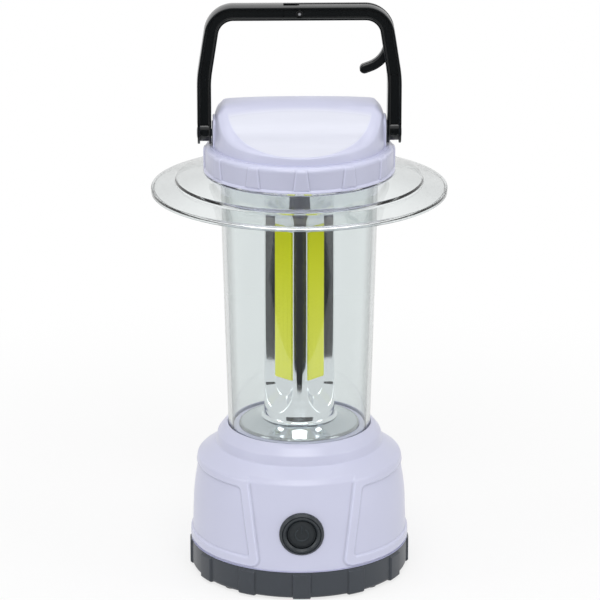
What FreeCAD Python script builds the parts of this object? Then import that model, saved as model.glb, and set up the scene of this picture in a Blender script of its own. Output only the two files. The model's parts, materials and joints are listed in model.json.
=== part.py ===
"""Camping lantern, a parametric document in millimetres.

+Z is up, the front with the push button faces -Y, and the origin is the centre of the ground under the feet.
"""
import FreeCAD
import Part
import Sketcher
import math
import os
import re

from FreeCAD import Placement, Rotation, Vector

# Driving dimensions, one cell each. Drops, rises, insets and gaps are taken from the piece beside them.
SIZES = {
    # battery cover and its feet
    "foot_height": 1.2,
    "foot_radius": 4.0,
    "foot_inset": 6.8,
    "cover_inset": 0.6,
    "cover_top": 16.3,
    "cover_floor": 2.6,
    "cover_wall": 3.6,
    "cover_edge": 1.8,
    "cover_lug_width": 9.8,
    "cover_lug_proud": 1.1,
    "cover_lug_count": 12,
    "spigot_inset": 7.0,
    "spigot_wall": 2.2,
    "spigot_rise": 8.2,
    "gasket_width": 1.6,
    "gasket_depth": 1.0,
    "bayonet_angle": 24.0,
    "bayonet_proud": 2.4,
    "bayonet_height": 2.6,
    "bayonet_gap": 0.6,
    "ledge_angle": 30.0,
    # base housing
    "parting_gap": 0.3,
    "housing_wall": 2.6,
    "waist_draw": 1.0,
    "waist_rise": 29.4,
    "waist_round": 100.0,
    "shoulder_width": 14.6,
    "shoulder_draw": 4.2,
    "shoulder_round": 2.8,
    "shoulder_rise": 7.0,
    "collar_rise": 18.0,
    "collar_width": 6.3,
    "collar_draft": 0.6,
    "collar_side": 5.4,
    "collar_round": 3.0,
    "collar_crest_width": 2.3,
    "collar_crest": 1.2,
    "collar_crest_round": 8.0,
    "collar_lip": 0.6,
    "collar_proud": 0.8,
    "deck_room": 8.7,
    "seat_drop": 3.0,
    "panel_depth": 0.8,
    "panel_frame": 4.9,
    "panel_rise": 1.4,
    "panel_drop": 4.2,
    "panel_front_low": 22.8,
    "panel_front_high": 28.9,
    "panel_round": 5.0,
    "panel_corner": 2.0,
    # push button
    "button_height": 38.0,
    "button_radius": 7.8,
    "button_travel": 1.6,
    "button_gap": 0.3,
    "bezel_radius": 12.2,
    "bezel_proud": 1.6,
    "bezel_seat": 1.0,
    "bezel_barrel": 10.2,
    "bezel_depth": 10.2,
    "bezel_lip": 0.7,
    "button_stop": 3.7,
    "button_recess": 0.8,
    "button_dome": 0.8,
    "button_flange": 1.4,
    "button_stem": 3.6,
    "plunger_dip": 1.8,
    "switch_size": 13.0,
    "switch_depth": 7.0,
    "plunger_radius": 3.0,
    "board_room": 4.15,
    "board_width": 37.0,
    "board_height": 22.0,
    "board_thickness": 1.6,
    "board_boss_offset": 15.0,
    # battery compartment
    "cell_radius": 16.4,
    "cell_length": 59.5,
    "cell_nub_radius": 4.8,
    "cell_nub_height": 1.5,
    "cell_gap": 0.6,
    "cell_clearance": 0.35,
    "holder_wall": 1.4,
    "holder_gap": 1.2,
    "holder_roof": 1.5,
    "holder_roof_margin": 5.0,
    "holder_lift": 2.0,
    "holder_boss_pitch": 31.0,
    "contact_thickness": 0.5,
    "contact_width": 10.0,
    "dimple_height": 3.5,
    "contact_gap": 0.3,
    # globe with its brim
    "seal_thickness": 0.8,
    "globe_length": 146.6,
    "globe_wall": 2.2,
    "globe_flare": 4.0,
    "globe_neck_round": 7.0,
    "globe_fit": 0.3,
    "brim_radius": 80.0,
    "brim_drop": 9.5,
    "brim_rim": 2.9,
    "brim_lip": 2.0,
    "brim_edge": 0.9,
    "brim_wall": 2.2,
    "brim_step_inset": 12.8,
    "brim_step": 2.1,
    "brim_slope": 3.2,
    "brim_seat_width": 8.5,
    # reflectors and light strips
    "floor_gap": 2.8,
    "floor_edge": 1.0,
    "floor_rise": 4.8,
    "floor_sheet": 1.2,
    "column_foot_round": 2.4,
    "wire_hole": 6.0,
    "niche_skin": 1.4,
    "niche_depth": 5.8,
    "niche_count": 4,
    "niche_flat": 0.2,
    "niche_rise": 20.1,
    "niche_drop": 31.4,
    "niche_flare": 50.0,
    "bore_rise": 7.8,
    "post_half": 10.6,
    "post_wall": 2.0,
    "post_drop": 9.4,
    "strip_width": 12.4,
    "strip_inset": 3.3,
    "strip_proud": 0.2,
    "led_board_width": 18.0,
    "led_board_margin": 10.9,
    "led_board_thickness": 1.4,
    "led_fit": 0.1,
    "rod_radius": 2.0,
    "rod_head": 4.0,
    "rod_head_height": 2.5,
    "nut_height": 3.2,
    "top_reflector_sheet": 0.8,
    # cap ring and cap shell
    "ring_inset": 0.6,
    "ring_depth": 13.6,
    "ring_wall": 2.9,
    "ring_round": 2.4,
    "ring_floor": 2.4,
    "ring_floor_lift": 2.6,
    "ring_lip": 2.4,
    "ring_spigot_wall": 2.4,
    "ring_spigot_drop": 4.3,
    "ring_lug_top": 5.4,
    "ring_lug_bottom": 9.0,
    "ring_lug_proud": 0.8,
    "ring_lug_count": 12,
    "cap_inset": 4.6,
    "cap_wall": 2.4,
    "cap_edge": 3.6,
    "cap_valley_offset": 20.5,
    "cap_valley": 10.4,
    "cap_valley_reach": 10.0,
    "cap_apex": 35.4,
    "cap_ridge_reach": 19.5,
    "cap_shoulder": 23.4,
    "cap_shoulder_round": 7.0,
    "cap_crown": 28.8,
    "cap_crown_reach": 37.5,
    "cap_post_pitch": 26.0,
    "cap_post_radius": 3.6,
    "cap_cavity_drop": 3.0,
    # bail and its pivots
    "pivot_rise": 6.7,
    "pad_proud": 0.2,
    "pad_half_width": 7.0,
    "pad_rise": 9.5,
    "pad_round": 5.0,
    "pad_backing": 0.8,
    "washer_radius": 6.4,
    "washer_thickness": 0.5,
    "bail_gap": 0.2,
    "bail_width": 7.7,
    "bail_depth": 12.4,
    "bail_rim": 1.3,
    "bail_channel": 1.6,
    "bail_crown": 1.0,
    "bail_crown_round": 19.0,
    "bail_bend_rise": 30.9,
    "bail_bend_round": 60.0,
    "bail_rise": 66.3,
    "bail_draw": 5.6,
    "bail_corner_round": 12.0,
    "bail_web_clear": 7.2,
    "barrel_radius": 4.7,
    "pin_radius": 2.0,
    "pin_head": 3.6,
    "pin_head_height": 1.2,
    "pin_depth": 8.5,
    "running_fit": 0.05,
    "press_fit": 0.02,
    # hanging hook
    "hook_thickness": 4.8,
    "hook_width": 5.2,
    "hook_edge": 1.0,
    "hook_side_gap": 0.3,
    "hook_hub_radius": 3.6,
    "hook_curl_round": 15.0,
    "hook_curl_drop": 25.5,
    "hook_reach": 10.6,
    "hook_tip_drop": 30.9,
    "slot_end": 6.0,
    "slot_drop": 32.9,
    "hook_pin_radius": 1.5,
    "hook_pin_head": 1.9,
    "hook_pin_head_height": 1.0,
    # screws
    "screw_radius": 1.3,
    "screw_head": 2.4,
    "screw_head_height": 1.5,
    "screw_bite": 6.0,
    "screw_tip": 0.3,
    "boss_radius": 3.0,
}

# Heights above the ground and radii from the lantern's axis, worked up from the cells that the base holds.
PLACES = {
    # heights of the base
    "floor_top": "foot_height + cover_floor",
    "housing_bottom": "cover_top + parting_gap",
    "cell_base": "floor_top + contact_thickness + dimple_height + contact_gap",
    "cell_top": "cell_base + cell_length + cell_nub_height",
    "roof_bottom": "cell_top + contact_thickness",
    "roof_top": "roof_bottom + holder_roof",
    "deck_height": "roof_top + deck_room + housing_wall",
    "seat_height": "deck_height - seat_drop",
    "collar_height": "deck_height + collar_proud",
    "shoulder_height": "collar_height - collar_rise",
    "waist_height": "housing_bottom + waist_rise",
    "panel_bottom": "housing_bottom + panel_rise",
    "panel_top": "shoulder_height - panel_drop",
    # heights of the globe, the cap and the bail
    "globe_foot_height": "seat_height + seal_thickness",
    "brim_seat_height": "globe_foot_height + globe_length",
    "brim_height": "brim_seat_height - brim_drop",
    "ring_height": "brim_seat_height + ring_depth",
    "pivot_height": "ring_height + pivot_rise",
    "pad_top": "pivot_height + pad_rise",
    "bail_bend_height": "pivot_height + bail_bend_rise",
    "bail_bar_height": "pivot_height + bail_rise",
    "hook_axis": "bail_bar_height - bail_crown / 2",
    "hook_tip_height": "hook_axis - hook_tip_drop",
    "slot_bottom": "hook_axis - slot_drop",
    # heights of the reflectors and light strips
    "column_base": "deck_height + floor_rise",
    "column_top": "brim_seat_height + ring_floor_lift",
    "niche_low": "column_base + niche_rise",
    "niche_high": "column_top - niche_drop",
    "strip_low": "niche_low + strip_inset",
    "strip_length": "niche_high - niche_low - strip_inset * 2",
    "led_board_length": "strip_length + led_board_margin * 2",
    "bore_floor": "column_base + bore_rise",
    "post_height": "column_top - post_drop - bore_floor",
    # radii of the base
    "cell_offset": "cell_radius + cell_gap / 2",
    "cell_bore": "cell_radius + cell_clearance",
    "holder_reach": "cell_offset * sqrt(2) + cell_bore + holder_wall",
    "holder_roof_radius": "holder_boss_pitch + holder_roof_margin",
    "collar_radius": "holder_reach + holder_gap + housing_wall",
    "housing_radius": "collar_radius + shoulder_width",
    "waist_radius": "housing_radius - waist_draw",
    "shoulder_radius": "housing_radius - shoulder_draw",
    "cover_radius": "housing_radius - cover_inset",
    "spigot_radius": "cover_radius - spigot_inset",
    "foot_pitch": "cover_radius - foot_inset",
    "board_distance": "cell_offset + cell_bore + holder_wall + board_room",
    # radii of the globe, the reflectors and the cap
    "groove_outer": "collar_radius - collar_width",
    "collar_crest_radius": "groove_outer + collar_crest_width",
    "globe_foot_radius": "groove_outer - globe_fit",
    "groove_inner": "globe_foot_radius - globe_wall - globe_fit * 2",
    "globe_neck_radius": "globe_foot_radius + globe_flare",
    "brim_seat_radius": "globe_neck_radius + brim_seat_width",
    "brim_step_radius": "brim_radius - brim_step_inset",
    "floor_radius": "groove_inner - floor_gap",
    "niche_floor": "post_half + led_board_thickness + niche_skin",
    "niche_half_width": "strip_width / 2 + led_fit",
    "niche_round": "niche_half_width - niche_flat",
    "column_radius": "niche_floor + niche_depth",
    "ring_radius": "brim_seat_radius - ring_inset",
    "cap_radius": "ring_radius - cap_inset",
    "pad_face": "cap_radius + pad_proud",
    # distances of the bail and the hook from the middle
    "bail_inner": "pad_face + washer_thickness + bail_gap",
    "bail_outer": "bail_inner + bail_width",
    "bail_edge": "bail_outer - bail_crown",
    "bail_middle": "bail_inner + bail_width / 2",
    "bail_bar_half": "bail_middle - bail_draw",
    "hook_tip_offset": "bail_bar_half - hook_reach",
}
CELLS = {**SIZES, **{alias: "=" + text for alias, text in PLACES.items()}}

doc = FreeCAD.newDocument("camping_lantern")
sheet = doc.addObject("Spreadsheet::Sheet", "Sizes")
for row, (alias, entry) in enumerate(CELLS.items(), start=1):
    sheet.set("A%d" % row, alias)
    sheet.set("B%d" % row, str(entry))
    sheet.setAlias("B%d" % row, alias)
doc.recompute()

# Places that are named here for a piece and its neighbour, as formulas of the sheet.
LEDGE_BOTTOM = "(housing_bottom + bayonet_gap)"
TAB_BOTTOM = "(%s + bayonet_height + parting_gap)" % LEDGE_BOTTOM
SPIGOT_TOP = "(cover_top + spigot_rise)"
DECK_BOTTOM = "(deck_height - housing_wall)"
SEAT_BOTTOM = "(seat_height - housing_wall)"
BORE_HALF = "(post_half + led_board_thickness + led_fit)"
RING_FLOOR_TOP = "(column_top + ring_floor)"
MOUTH_RADIUS = "(globe_neck_radius - globe_wall)"
SPIGOT_OUTER = "(%s - globe_fit)" % MOUTH_RADIUS
SPIGOT_INNER = "(%s - ring_spigot_wall)" % SPIGOT_OUTER
FIELD_RADIUS = "(waist_radius - panel_depth)"
BUTTON_FACE = "(%s + bezel_proud)" % FIELD_RADIUS
BEZEL_SHOULDER = "(%s - bezel_seat)" % FIELD_RADIUS
BOSS_HOLE = "(screw_radius + press_fit)"
PIN_ROOT = "(pad_face - pin_depth)"
PIN_STOP = "(bail_edge + bail_gap)"
SLOT_HALF = "(hook_thickness / 2 + hook_side_gap)"
CHANNEL_FLOOR = "(bail_depth / 2 - bail_channel)"
GASKET_OUTER = "(cover_radius - (cover_wall - gasket_width) / 2)"
GASKET_INNER = "(cover_radius - (cover_wall + gasket_width) / 2)"
BRIM_STEP_TOP = "(brim_height + brim_slope + brim_step)"

NODES = []


def formula(text):
    """A formula of plain dimension names, as the document's expressions spell it."""
    return re.sub(r"[a-z][a-z_]*", lambda m: ("Sizes." if m.group() in CELLS else "") + m.group(), text)


def value(text):
    """The present value of a formula."""
    return float(sheet.evalExpression(text))


def bind(item, prop, text):
    """Tie one property to the sheet."""
    item.setExpression(prop, formula(text))


def place(item, base, axis=(0, 0, 1), angle=0):
    """Put an item at three formulas, turned about an axis by a fixed angle."""
    turn = Rotation(Vector(*axis), angle)
    item.Placement = Placement(Vector(*[value(text) for text in base]), turn)
    for letter, text in zip("xyz", base):
        bind(item, "Placement.Base." + letter, text)


def node(label, item):
    """Name a finished sub-part."""
    item.Label = label
    NODES.append(item)
    return item


# The axis that a primitive's own Z is turned to.
TURNS = {
    "z": ((0, 0, 1), 0),
    "x": ((0, 1, 0), 90),
    "-x": ((0, 1, 0), -90),
    "y": ((1, 0, 0), -90),
    "-y": ((1, 0, 0), 90),
}


def cylinder(name, radius, height, base, axis="z"):
    """A round bar from a base point along an axis."""
    bar = doc.addObject("Part::Cylinder", name)
    bind(bar, "Radius", radius)
    bind(bar, "Height", height)
    place(bar, base, *TURNS[axis])
    return bar


def box(name, spans):
    """A block between two formulas on each axis."""
    block = doc.addObject("Part::Box", name)
    for prop, (low, high) in zip(("Length", "Width", "Height"), spans):
        bind(block, prop, "(%s) - (%s)" % (high, low))
    place(block, [low for low, high in spans])
    return block


def fuse(name, pieces):
    """Pieces joined into one solid."""
    whole = doc.addObject("Part::MultiFuse", name)
    whole.Shapes = pieces
    whole.Refine = True
    return whole


def group(name, pieces):
    """Like pieces that share a node and stay separate solids."""
    whole = doc.addObject("Part::Compound", name)
    whole.Links = pieces
    return whole


def common(name, pieces):
    """What all the pieces share."""
    whole = doc.addObject("Part::MultiCommon", name)
    whole.Shapes = pieces
    return whole


def cut(name, base, tools):
    """A base less its tools."""
    rest = doc.addObject("Part::Cut", name)
    rest.Base = base
    rest.Tool = tools[0] if len(tools) == 1 else fuse(name + "_tools", tools)
    return rest


def outline(sketch, corners, closed=True):
    """Straight runs between corners, each (x, y) sharp or (x, y, radius) rounded by a tangent arc.

    A rounded corner keeps a construction point at its sharp place, which carries the two distances.
    """
    count = len(corners)
    spots = [Vector(value(corner[0]), value(corner[1]), 0) for corner in corners]
    radii = [value(corner[2]) if len(corner) > 2 else 0 for corner in corners]
    runs = count if closed else count - 1
    enter, leave, centre = list(spots), list(spots), list(spots)
    for i in range(count):
        if radii[i]:
            back = (spots[i - 1] - spots[i]).normalize()
            ahead = (spots[(i + 1) % count] - spots[i]).normalize()
            half = back.getAngle(ahead) / 2
            reach = radii[i] / math.tan(half)
            enter[i] = spots[i] + back * reach
            leave[i] = spots[i] + ahead * reach
            centre[i] = spots[i] + (back + ahead).normalize() * (radii[i] / math.sin(half))
    first = sketch.GeometryCount
    sketch.addGeometry([Part.LineSegment(leave[i], enter[(i + 1) % count]) for i in range(runs)])
    rules, ties = [], []

    def distances(geometry, point, corner):
        for kind, text in zip(("DistanceX", "DistanceY"), corner):
            ties.append((len(rules), text))
            rules.append(Sketcher.Constraint(kind, -1, 1, geometry, point, value(text)))

    for i, corner in enumerate(corners):
        after = first + i
        before = first + (i - 1) % count
        if not radii[i]:
            if i < runs:
                distances(after, 1, corner)
            else:
                distances(before, 2, corner)
            if closed or 0 < i < runs:
                rules.append(Sketcher.Constraint("Coincident", before, 2, after, 1))
            continue
        turn = (spots[i] - spots[i - 1]).cross(spots[(i + 1) % count] - spots[i]).z
        start, end = (enter[i], leave[i]) if turn > 0 else (leave[i], enter[i])
        angles = [math.atan2(spot.y - centre[i].y, spot.x - centre[i].x) for spot in (start, end)]
        if angles[1] < angles[0]:
            angles[1] += 2 * math.pi
        arc = sketch.addGeometry(Part.ArcOfCircle(Part.Circle(centre[i], Vector(0, 0, 1), radii[i]), *angles))
        mark = sketch.addGeometry(Part.Point(spots[i]), True)
        entry, outlet = (1, 2) if turn > 0 else (2, 1)
        rules.append(Sketcher.Constraint("Tangent", before, 2, arc, entry))
        rules.append(Sketcher.Constraint("Tangent", arc, outlet, after, 1))
        rules.append(Sketcher.Constraint("PointOnObject", mark, 1, before))
        rules.append(Sketcher.Constraint("PointOnObject", mark, 1, after))
        ties.append((len(rules), corner[2]))
        rules.append(Sketcher.Constraint("Radius", arc, radii[i]))
        distances(mark, 1, corner)
    numbers = sketch.addConstraint(rules)
    for index, text in ties:
        bind(sketch, "Constraints[%d]" % numbers[index], text)


def new_sketch(body, name, role, offset="0"):
    """An empty sketch on one of the body's own planes, moved along its normal."""
    sketch = body.newObject("Sketcher::SketchObject", name)
    plane = [feature for feature in body.Origin.OriginFeatures if feature.Role == role][0]
    sketch.AttachmentSupport = [(plane, "")]
    sketch.MapMode = "FlatFace"
    bind(sketch, "AttachmentOffset.Base.z", offset)
    return sketch


def lathe(name, corners):
    """A body turned about Z from a half section of (radius, height) corners."""
    body = doc.addObject("PartDesign::Body", name)
    sketch = new_sketch(body, name + "_section", "XZ_Plane")
    outline(sketch, corners)
    turned = body.newObject("PartDesign::Revolution", name + "_turned")
    turned.Profile = sketch
    turned.ReferenceAxis = (sketch, ["V_Axis"])
    turned.Angle = 360
    body.Tip = turned
    return body


def pad(body, name, role, outlines, length, offset="0", symmetric=False):
    """A pad of one or more outlines on a plane of the body."""
    sketch = new_sketch(body, name + "_sketch", role, offset)
    for corners in outlines:
        outline(sketch, corners)
    raised = body.newObject("PartDesign::Pad", name)
    raised.Profile = sketch
    raised.SideType = "Symmetric" if symmetric else "One side"
    bind(raised, "Length", length)
    body.Tip = raised
    return raised


def pocket(body, name, role, corners, length, offset="0", taper=None):
    """A pocket that runs along the sketch's normal, with flared walls if a taper is given."""
    sketch = new_sketch(body, name + "_sketch", role, offset)
    outline(sketch, corners)
    sunk = body.newObject("PartDesign::Pocket", name)
    sunk.Profile = sketch
    sunk.Reversed = True
    bind(sunk, "Length", length)
    if taper:
        bind(sunk, "TaperAngle", taper)
    body.Tip = sunk
    return sunk


def polar(body, feature, count):
    """A feature repeated round the lantern's axis."""
    pattern = body.newObject("PartDesign::PolarPattern", feature.Name + "_pattern")
    pattern.Originals = [feature]
    pattern.Axis = ([item for item in body.Origin.OriginFeatures if item.Role == "Z_Axis"][0], [""])
    pattern.Angle = 360
    bind(pattern, "Occurrences", count)
    body.Tip = pattern
    return pattern


def prism(name, role, outlines, length):
    """A body padded both ways from a plane."""
    body = doc.addObject("PartDesign::Body", name)
    pad(body, name + "_pad", role, outlines, length, symmetric=True)
    return body


def swept(name, path, section, role, offset):
    """A body whose section is carried along a path of runs and arcs in the XZ plane."""
    body = doc.addObject("PartDesign::Body", name)
    spine = new_sketch(body, name + "_path", "XZ_Plane")
    outline(spine, path, closed=False)
    profile = new_sketch(body, name + "_section", role, offset)
    outline(profile, section)
    pipe = body.newObject("PartDesign::AdditivePipe", name + "_pipe")
    pipe.Profile = profile
    pipe.Spine = (spine, [])
    body.Tip = pipe
    return body


def rectangle(left, right, bottom, top):
    """Four sharp corners."""
    return [(left, bottom), (right, bottom), (right, top), (left, top)]


def sector(name, corners, angle, turn):
    """A part of a turn of a half section, centred on the direction at a fixed angle from +X."""
    body = lathe(name, corners)
    body.Tip.Midplane = True
    bind(body.Tip, "Angle", angle)
    body.Placement = Placement(Vector(), Rotation(Vector(0, 0, 1), turn))
    return body


def turned_box(name, along, out, up, angle):
    """A block turned about the lantern's axis: its spans run along a tangent, outwards and up."""
    block = box(name, [along, out, up])
    place(block, at_angle(along[0], out[0], angle) + [up[0]], (0, 0, 1), angle)
    return block


def at_angle(along, out, angle):
    """X and Y formulas of a point along a tangent and out, in axes turned by an angle."""
    return ["(%s) * cos(%g) - (%s) * sin(%g)" % (along, angle, out, angle),
            "(%s) * sin(%g) + (%s) * cos(%g)" % (along, angle, out, angle)]


def screw(name, spot, grip, axis="z"):
    """A pan-head screw: its head ends at the spot, and its shank runs on along the axis through the grip."""
    x, y, z = spot
    back = (x, y, "%s - screw_head_height" % z) if axis == "z" else (x, "%s + screw_head_height" % y, z)
    head = cylinder(name + "_head", "screw_head", "screw_head_height", back, axis)
    shank = cylinder(name + "_shank", "screw_radius", "%s + screw_bite" % grip, spot, axis)
    return fuse(name, [head, shank])


def facing_front(body):
    """Turn a lathed body's axis to the front, at the button's height."""
    place(body, ("0", "0", "button_height"), (1, 0, 0), 90)
    return body


SIDES = (("left", "-"), ("right", ""))
DIAGONALS = (45, 135, 225, 315)

# Battery cover: a shallow cup with grip lugs, a spigot and three bayonet tabs
cover_cup = lathe("cover_cup", [
    ("0", "foot_height"),
    ("cover_radius", "foot_height", "cover_edge"),
    ("cover_radius", "cover_top"),
    (GASKET_OUTER, "cover_top"),
    (GASKET_OUTER, "cover_top - gasket_depth"),
    (GASKET_INNER, "cover_top - gasket_depth"),
    (GASKET_INNER, "cover_top"),
    ("cover_radius - cover_wall", "cover_top"),
    ("cover_radius - cover_wall", "floor_top"),
    ("spigot_radius", "floor_top"),
    ("spigot_radius", SPIGOT_TOP),
    ("spigot_radius - spigot_wall", SPIGOT_TOP),
    ("spigot_radius - spigot_wall", "floor_top"),
    ("0", "floor_top"),
])
cover_lug = pad(cover_cup, "cover_lug", "XZ_Plane",
                [rectangle("-cover_lug_width / 2", "cover_lug_width / 2", "foot_height", "cover_top")],
                "(cover_wall - gasket_width) / 2 + cover_lug_proud", offset=GASKET_OUTER)
polar(cover_cup, cover_lug, "cover_lug_count")
TAB_TURNS = (30, 150, 270)
tabs = []
for number, turn in enumerate(TAB_TURNS, start=1):
    tabs.append(sector("bayonet_tab_%d" % number,
                       rectangle("spigot_radius - spigot_wall / 2", "spigot_radius + bayonet_proud",
                                 TAB_BOTTOM, TAB_BOTTOM + " + bayonet_height"), "bayonet_angle", turn))
node("battery_cover", fuse("cover", [cover_cup] + tabs))

for number, angle in enumerate(DIAGONALS, start=1):
    x, y = at_angle("0", "foot_pitch", angle)
    foot = cylinder("foot_%d" % number, "foot_radius", "foot_height", (x, y, "0"))
    node("foot_%d" % number, foot)

node("cover_gasket", lathe("gasket", rectangle(GASKET_INNER + " + press_fit", GASKET_OUTER + " - press_fit",
                                               "cover_top - gasket_depth", "cover_top")))

for side, sign in SIDES:
    middle = sign + "cell_offset"
    strip = box("cover_strip_" + side, [
        (middle + " - contact_width / 2", middle + " + contact_width / 2"),
        ("-cell_offset - contact_width", "cell_offset + contact_width"),
        ("floor_top", "floor_top + contact_thickness")])
    dimples = []
    for end, way in (("front", "-"), ("back", "")):
        dimple = doc.addObject("Part::Cone", "dimple_%s_%s" % (side, end))
        bind(dimple, "Radius1", "contact_width / 2 - contact_thickness")
        bind(dimple, "Radius2", "contact_width / 4")
        bind(dimple, "Height", "dimple_height")
        place(dimple, (middle, way + "cell_offset", "floor_top + contact_thickness"))
        dimples.append(dimple)
    node("cover_contact_" + side, fuse("cover_contact_" + side, [strip] + dimples))

# Base housing: a turned shell with framed side panels, bosses and bayonet ledges
shell = lathe("housing_shell", [
    ("housing_radius", "housing_bottom"),
    ("waist_radius", "waist_height", "waist_round"),
    ("shoulder_radius", "shoulder_height", "shoulder_round"),
    ("collar_radius", "shoulder_height + shoulder_rise"),
    ("collar_radius - collar_draft", "shoulder_height + shoulder_rise + collar_side", "collar_round"),
    ("collar_crest_radius", "collar_height - collar_crest", "collar_crest_round"),
    ("groove_outer + collar_lip", "collar_height"),
    ("groove_outer", "collar_height"),
    ("groove_outer", "seat_height"),
    ("groove_inner", "seat_height"),
    ("groove_inner", "deck_height"),
    ("rod_radius + globe_fit", "deck_height"),
    ("rod_radius + globe_fit", DECK_BOTTOM),
    ("groove_inner - housing_wall", DECK_BOTTOM),
    ("groove_inner - housing_wall", SEAT_BOTTOM),
    ("collar_radius - collar_draft - housing_wall", SEAT_BOTTOM),
    ("collar_radius - housing_wall", "shoulder_height + shoulder_rise - housing_wall"),
    ("shoulder_radius - housing_wall", "shoulder_height - housing_wall"),
    ("waist_radius - housing_wall", "waist_height", "waist_round"),
    ("housing_radius - housing_wall", "housing_bottom"),
])
recess_ring = lathe("recess_ring", [
    ("housing_radius - panel_depth", "cover_top"),
    (FIELD_RADIUS, "waist_height", "waist_round"),
    ("shoulder_radius - panel_depth", "shoulder_height + panel_depth / 2"),
    ("housing_radius + panel_depth", "shoulder_height + panel_depth / 2"),
    ("housing_radius + panel_depth", "cover_top"),
])


def frame_edge(sign, inset, top, low_round, high_round):
    """One edge of a side panel's frame: it leans along the front field, and its far side is past the wall."""
    low = "(panel_bottom + %s)" % inset
    lean = "(panel_front_high - panel_front_low) / (shoulder_height - panel_bottom)"
    near = "panel_front_low + %s + (%s - panel_bottom) * %s"
    far = "%s(housing_radius + panel_frame * 2 - %s)" % (sign, inset)
    near_low = "%s(%s)" % (sign, near % (inset, low, lean))
    near_high = "%s(%s)" % (sign, near % (inset, top, lean))
    return [(near_low, low, low_round), (near_high, top) + high_round, (far, top), (far, low)]


frames = []
board_bosses = []
board_holes = []
BOSS_ROOT = "sqrt(%s^2 - (board_boss_offset + boss_radius)^2)" % FIELD_RADIUS
for side, sign in SIDES:
    frames.append(prism("panel_frame_" + side, "XZ_Plane",
                        [frame_edge(sign, "0", "shoulder_height + panel_depth", "panel_round", ()),
                         frame_edge(sign, "panel_frame", "panel_top", "panel_corner", ("panel_corner",))],
                        "housing_radius * 2 + panel_frame * 2"))
    spot = (sign + "board_boss_offset", "-board_distance", "button_height")
    board_bosses.append(cylinder("board_boss_" + side, "boss_radius",
                                 BOSS_ROOT + " - board_distance", spot, "-y"))
    board_holes.append(cylinder("board_hole_" + side, BOSS_HOLE, "screw_bite + screw_tip", spot, "-y"))
fields = cut("recessed_fields", recess_ring, frames)

HOLDER_SPOTS = (("holder_boss_pitch", "0"), ("-holder_boss_pitch", "0"), ("0", "holder_boss_pitch"))
holder_bosses = []
holder_holes = []
for number, (x, y) in enumerate(HOLDER_SPOTS, start=1):
    holder_bosses.append(cylinder("holder_boss_%d" % number, "boss_radius",
                                  DECK_BOTTOM + " + housing_wall / 2 - roof_top", (x, y, "roof_top")))
    holder_holes.append(cylinder("holder_hole_%d" % number, BOSS_HOLE,
                                 "screw_bite + screw_tip", (x, y, "roof_top")))
ledges = []
for number, turn in enumerate(TAB_TURNS, start=1):
    ledges.append(sector("bayonet_ledge_%d" % number,
                         rectangle("spigot_radius + bayonet_gap", "housing_radius - housing_wall / 2",
                                   LEDGE_BOTTOM, LEDGE_BOTTOM + " + bayonet_height"), "ledge_angle", turn))
BEZEL_HOLES = (("bezel_hole", "bezel_barrel + button_gap", "board_distance + screw_bite"),
               ("bezel_counterbore", "bezel_radius + press_fit", BEZEL_SHOULDER))
bezel_holes = []
for name, radius, start in BEZEL_HOLES:
    bezel_holes.append(cylinder(name, radius, "%s + bezel_radius - (%s)" % (BUTTON_FACE, start),
                                ("0", "-(%s)" % start, "button_height"), "-y"))
housing = fuse("housing_whole", [shell] + board_bosses + holder_bosses + ledges)
node("base_housing", cut("housing", housing, [fields] + bezel_holes + board_holes + holder_holes))

# Push button, bezel, switch and driver board, drawn as distances from the lantern's axis
BEZEL_BACK = "(%s - bezel_depth)" % BUTTON_FACE
BUTTON_STOP = "(%s - button_stop)" % BUTTON_FACE
node("button_bezel", facing_front(lathe("bezel", [
    ("button_radius + button_gap", BUTTON_FACE + " - bezel_proud"),
    ("button_radius + button_gap + bezel_proud", BUTTON_FACE),
    ("bezel_radius", BUTTON_FACE, "bezel_proud"),
    ("bezel_radius", BEZEL_SHOULDER),
    ("bezel_barrel", BEZEL_SHOULDER),
    ("bezel_barrel", BEZEL_BACK),
    ("bezel_barrel - bezel_lip", BEZEL_BACK),
    ("bezel_barrel - bezel_lip", BUTTON_STOP),
    ("button_radius + button_gap", BUTTON_STOP),
])))
BUTTON_FRONT = "(%s - button_recess)" % BUTTON_FACE
FLANGE_FRONT = "(%s - button_gap)" % BUTTON_STOP
FLANGE_BACK = "(%s - button_flange)" % FLANGE_FRONT
PLUNGER_FRONT = "(%s - button_stem)" % FLANGE_BACK
SWITCH_FRONT = "(board_distance + switch_depth)"
node("power_button", facing_front(lathe("button", [
    ("0", PLUNGER_FRONT),
    ("plunger_radius + button_gap * 2", PLUNGER_FRONT),
    ("plunger_radius + button_gap * 2", FLANGE_BACK),
    ("bezel_barrel - bezel_lip - button_gap", FLANGE_BACK),
    ("bezel_barrel - bezel_lip - button_gap", FLANGE_FRONT),
    ("button_radius", FLANGE_FRONT),
    ("button_radius", BUTTON_FRONT + " - button_dome", "button_dome"),
    ("0", BUTTON_FRONT),
])))
PLUNGER_BACK = "(%s - plunger_dip)" % SWITCH_FRONT
node("switch_plunger", facing_front(lathe("plunger", rectangle("0", "plunger_radius",
                                                               PLUNGER_BACK, PLUNGER_FRONT))))
switch_block = box("switch_block", [
    ("-switch_size / 2", "switch_size / 2"),
    ("-" + SWITCH_FRONT, "-board_distance"),
    ("button_height - switch_size / 2", "button_height + switch_size / 2")])
WELL_FLOOR = "(%s - button_travel - button_gap)" % PLUNGER_BACK
switch_well = cylinder("switch_well", "plunger_radius + button_gap", "%s - %s" % (SWITCH_FRONT, WELL_FLOOR),
                       ("0", "-" + WELL_FLOOR, "button_height"), "-y")
node("push_switch", cut("switch", switch_block, [switch_well]))
board = box("board", [
    ("-board_width / 2", "board_width / 2"),
    ("-board_distance", "board_thickness - board_distance"),
    ("button_height - board_height / 2", "button_height + board_height / 2")])
board_screws = []
board_bores = []
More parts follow.
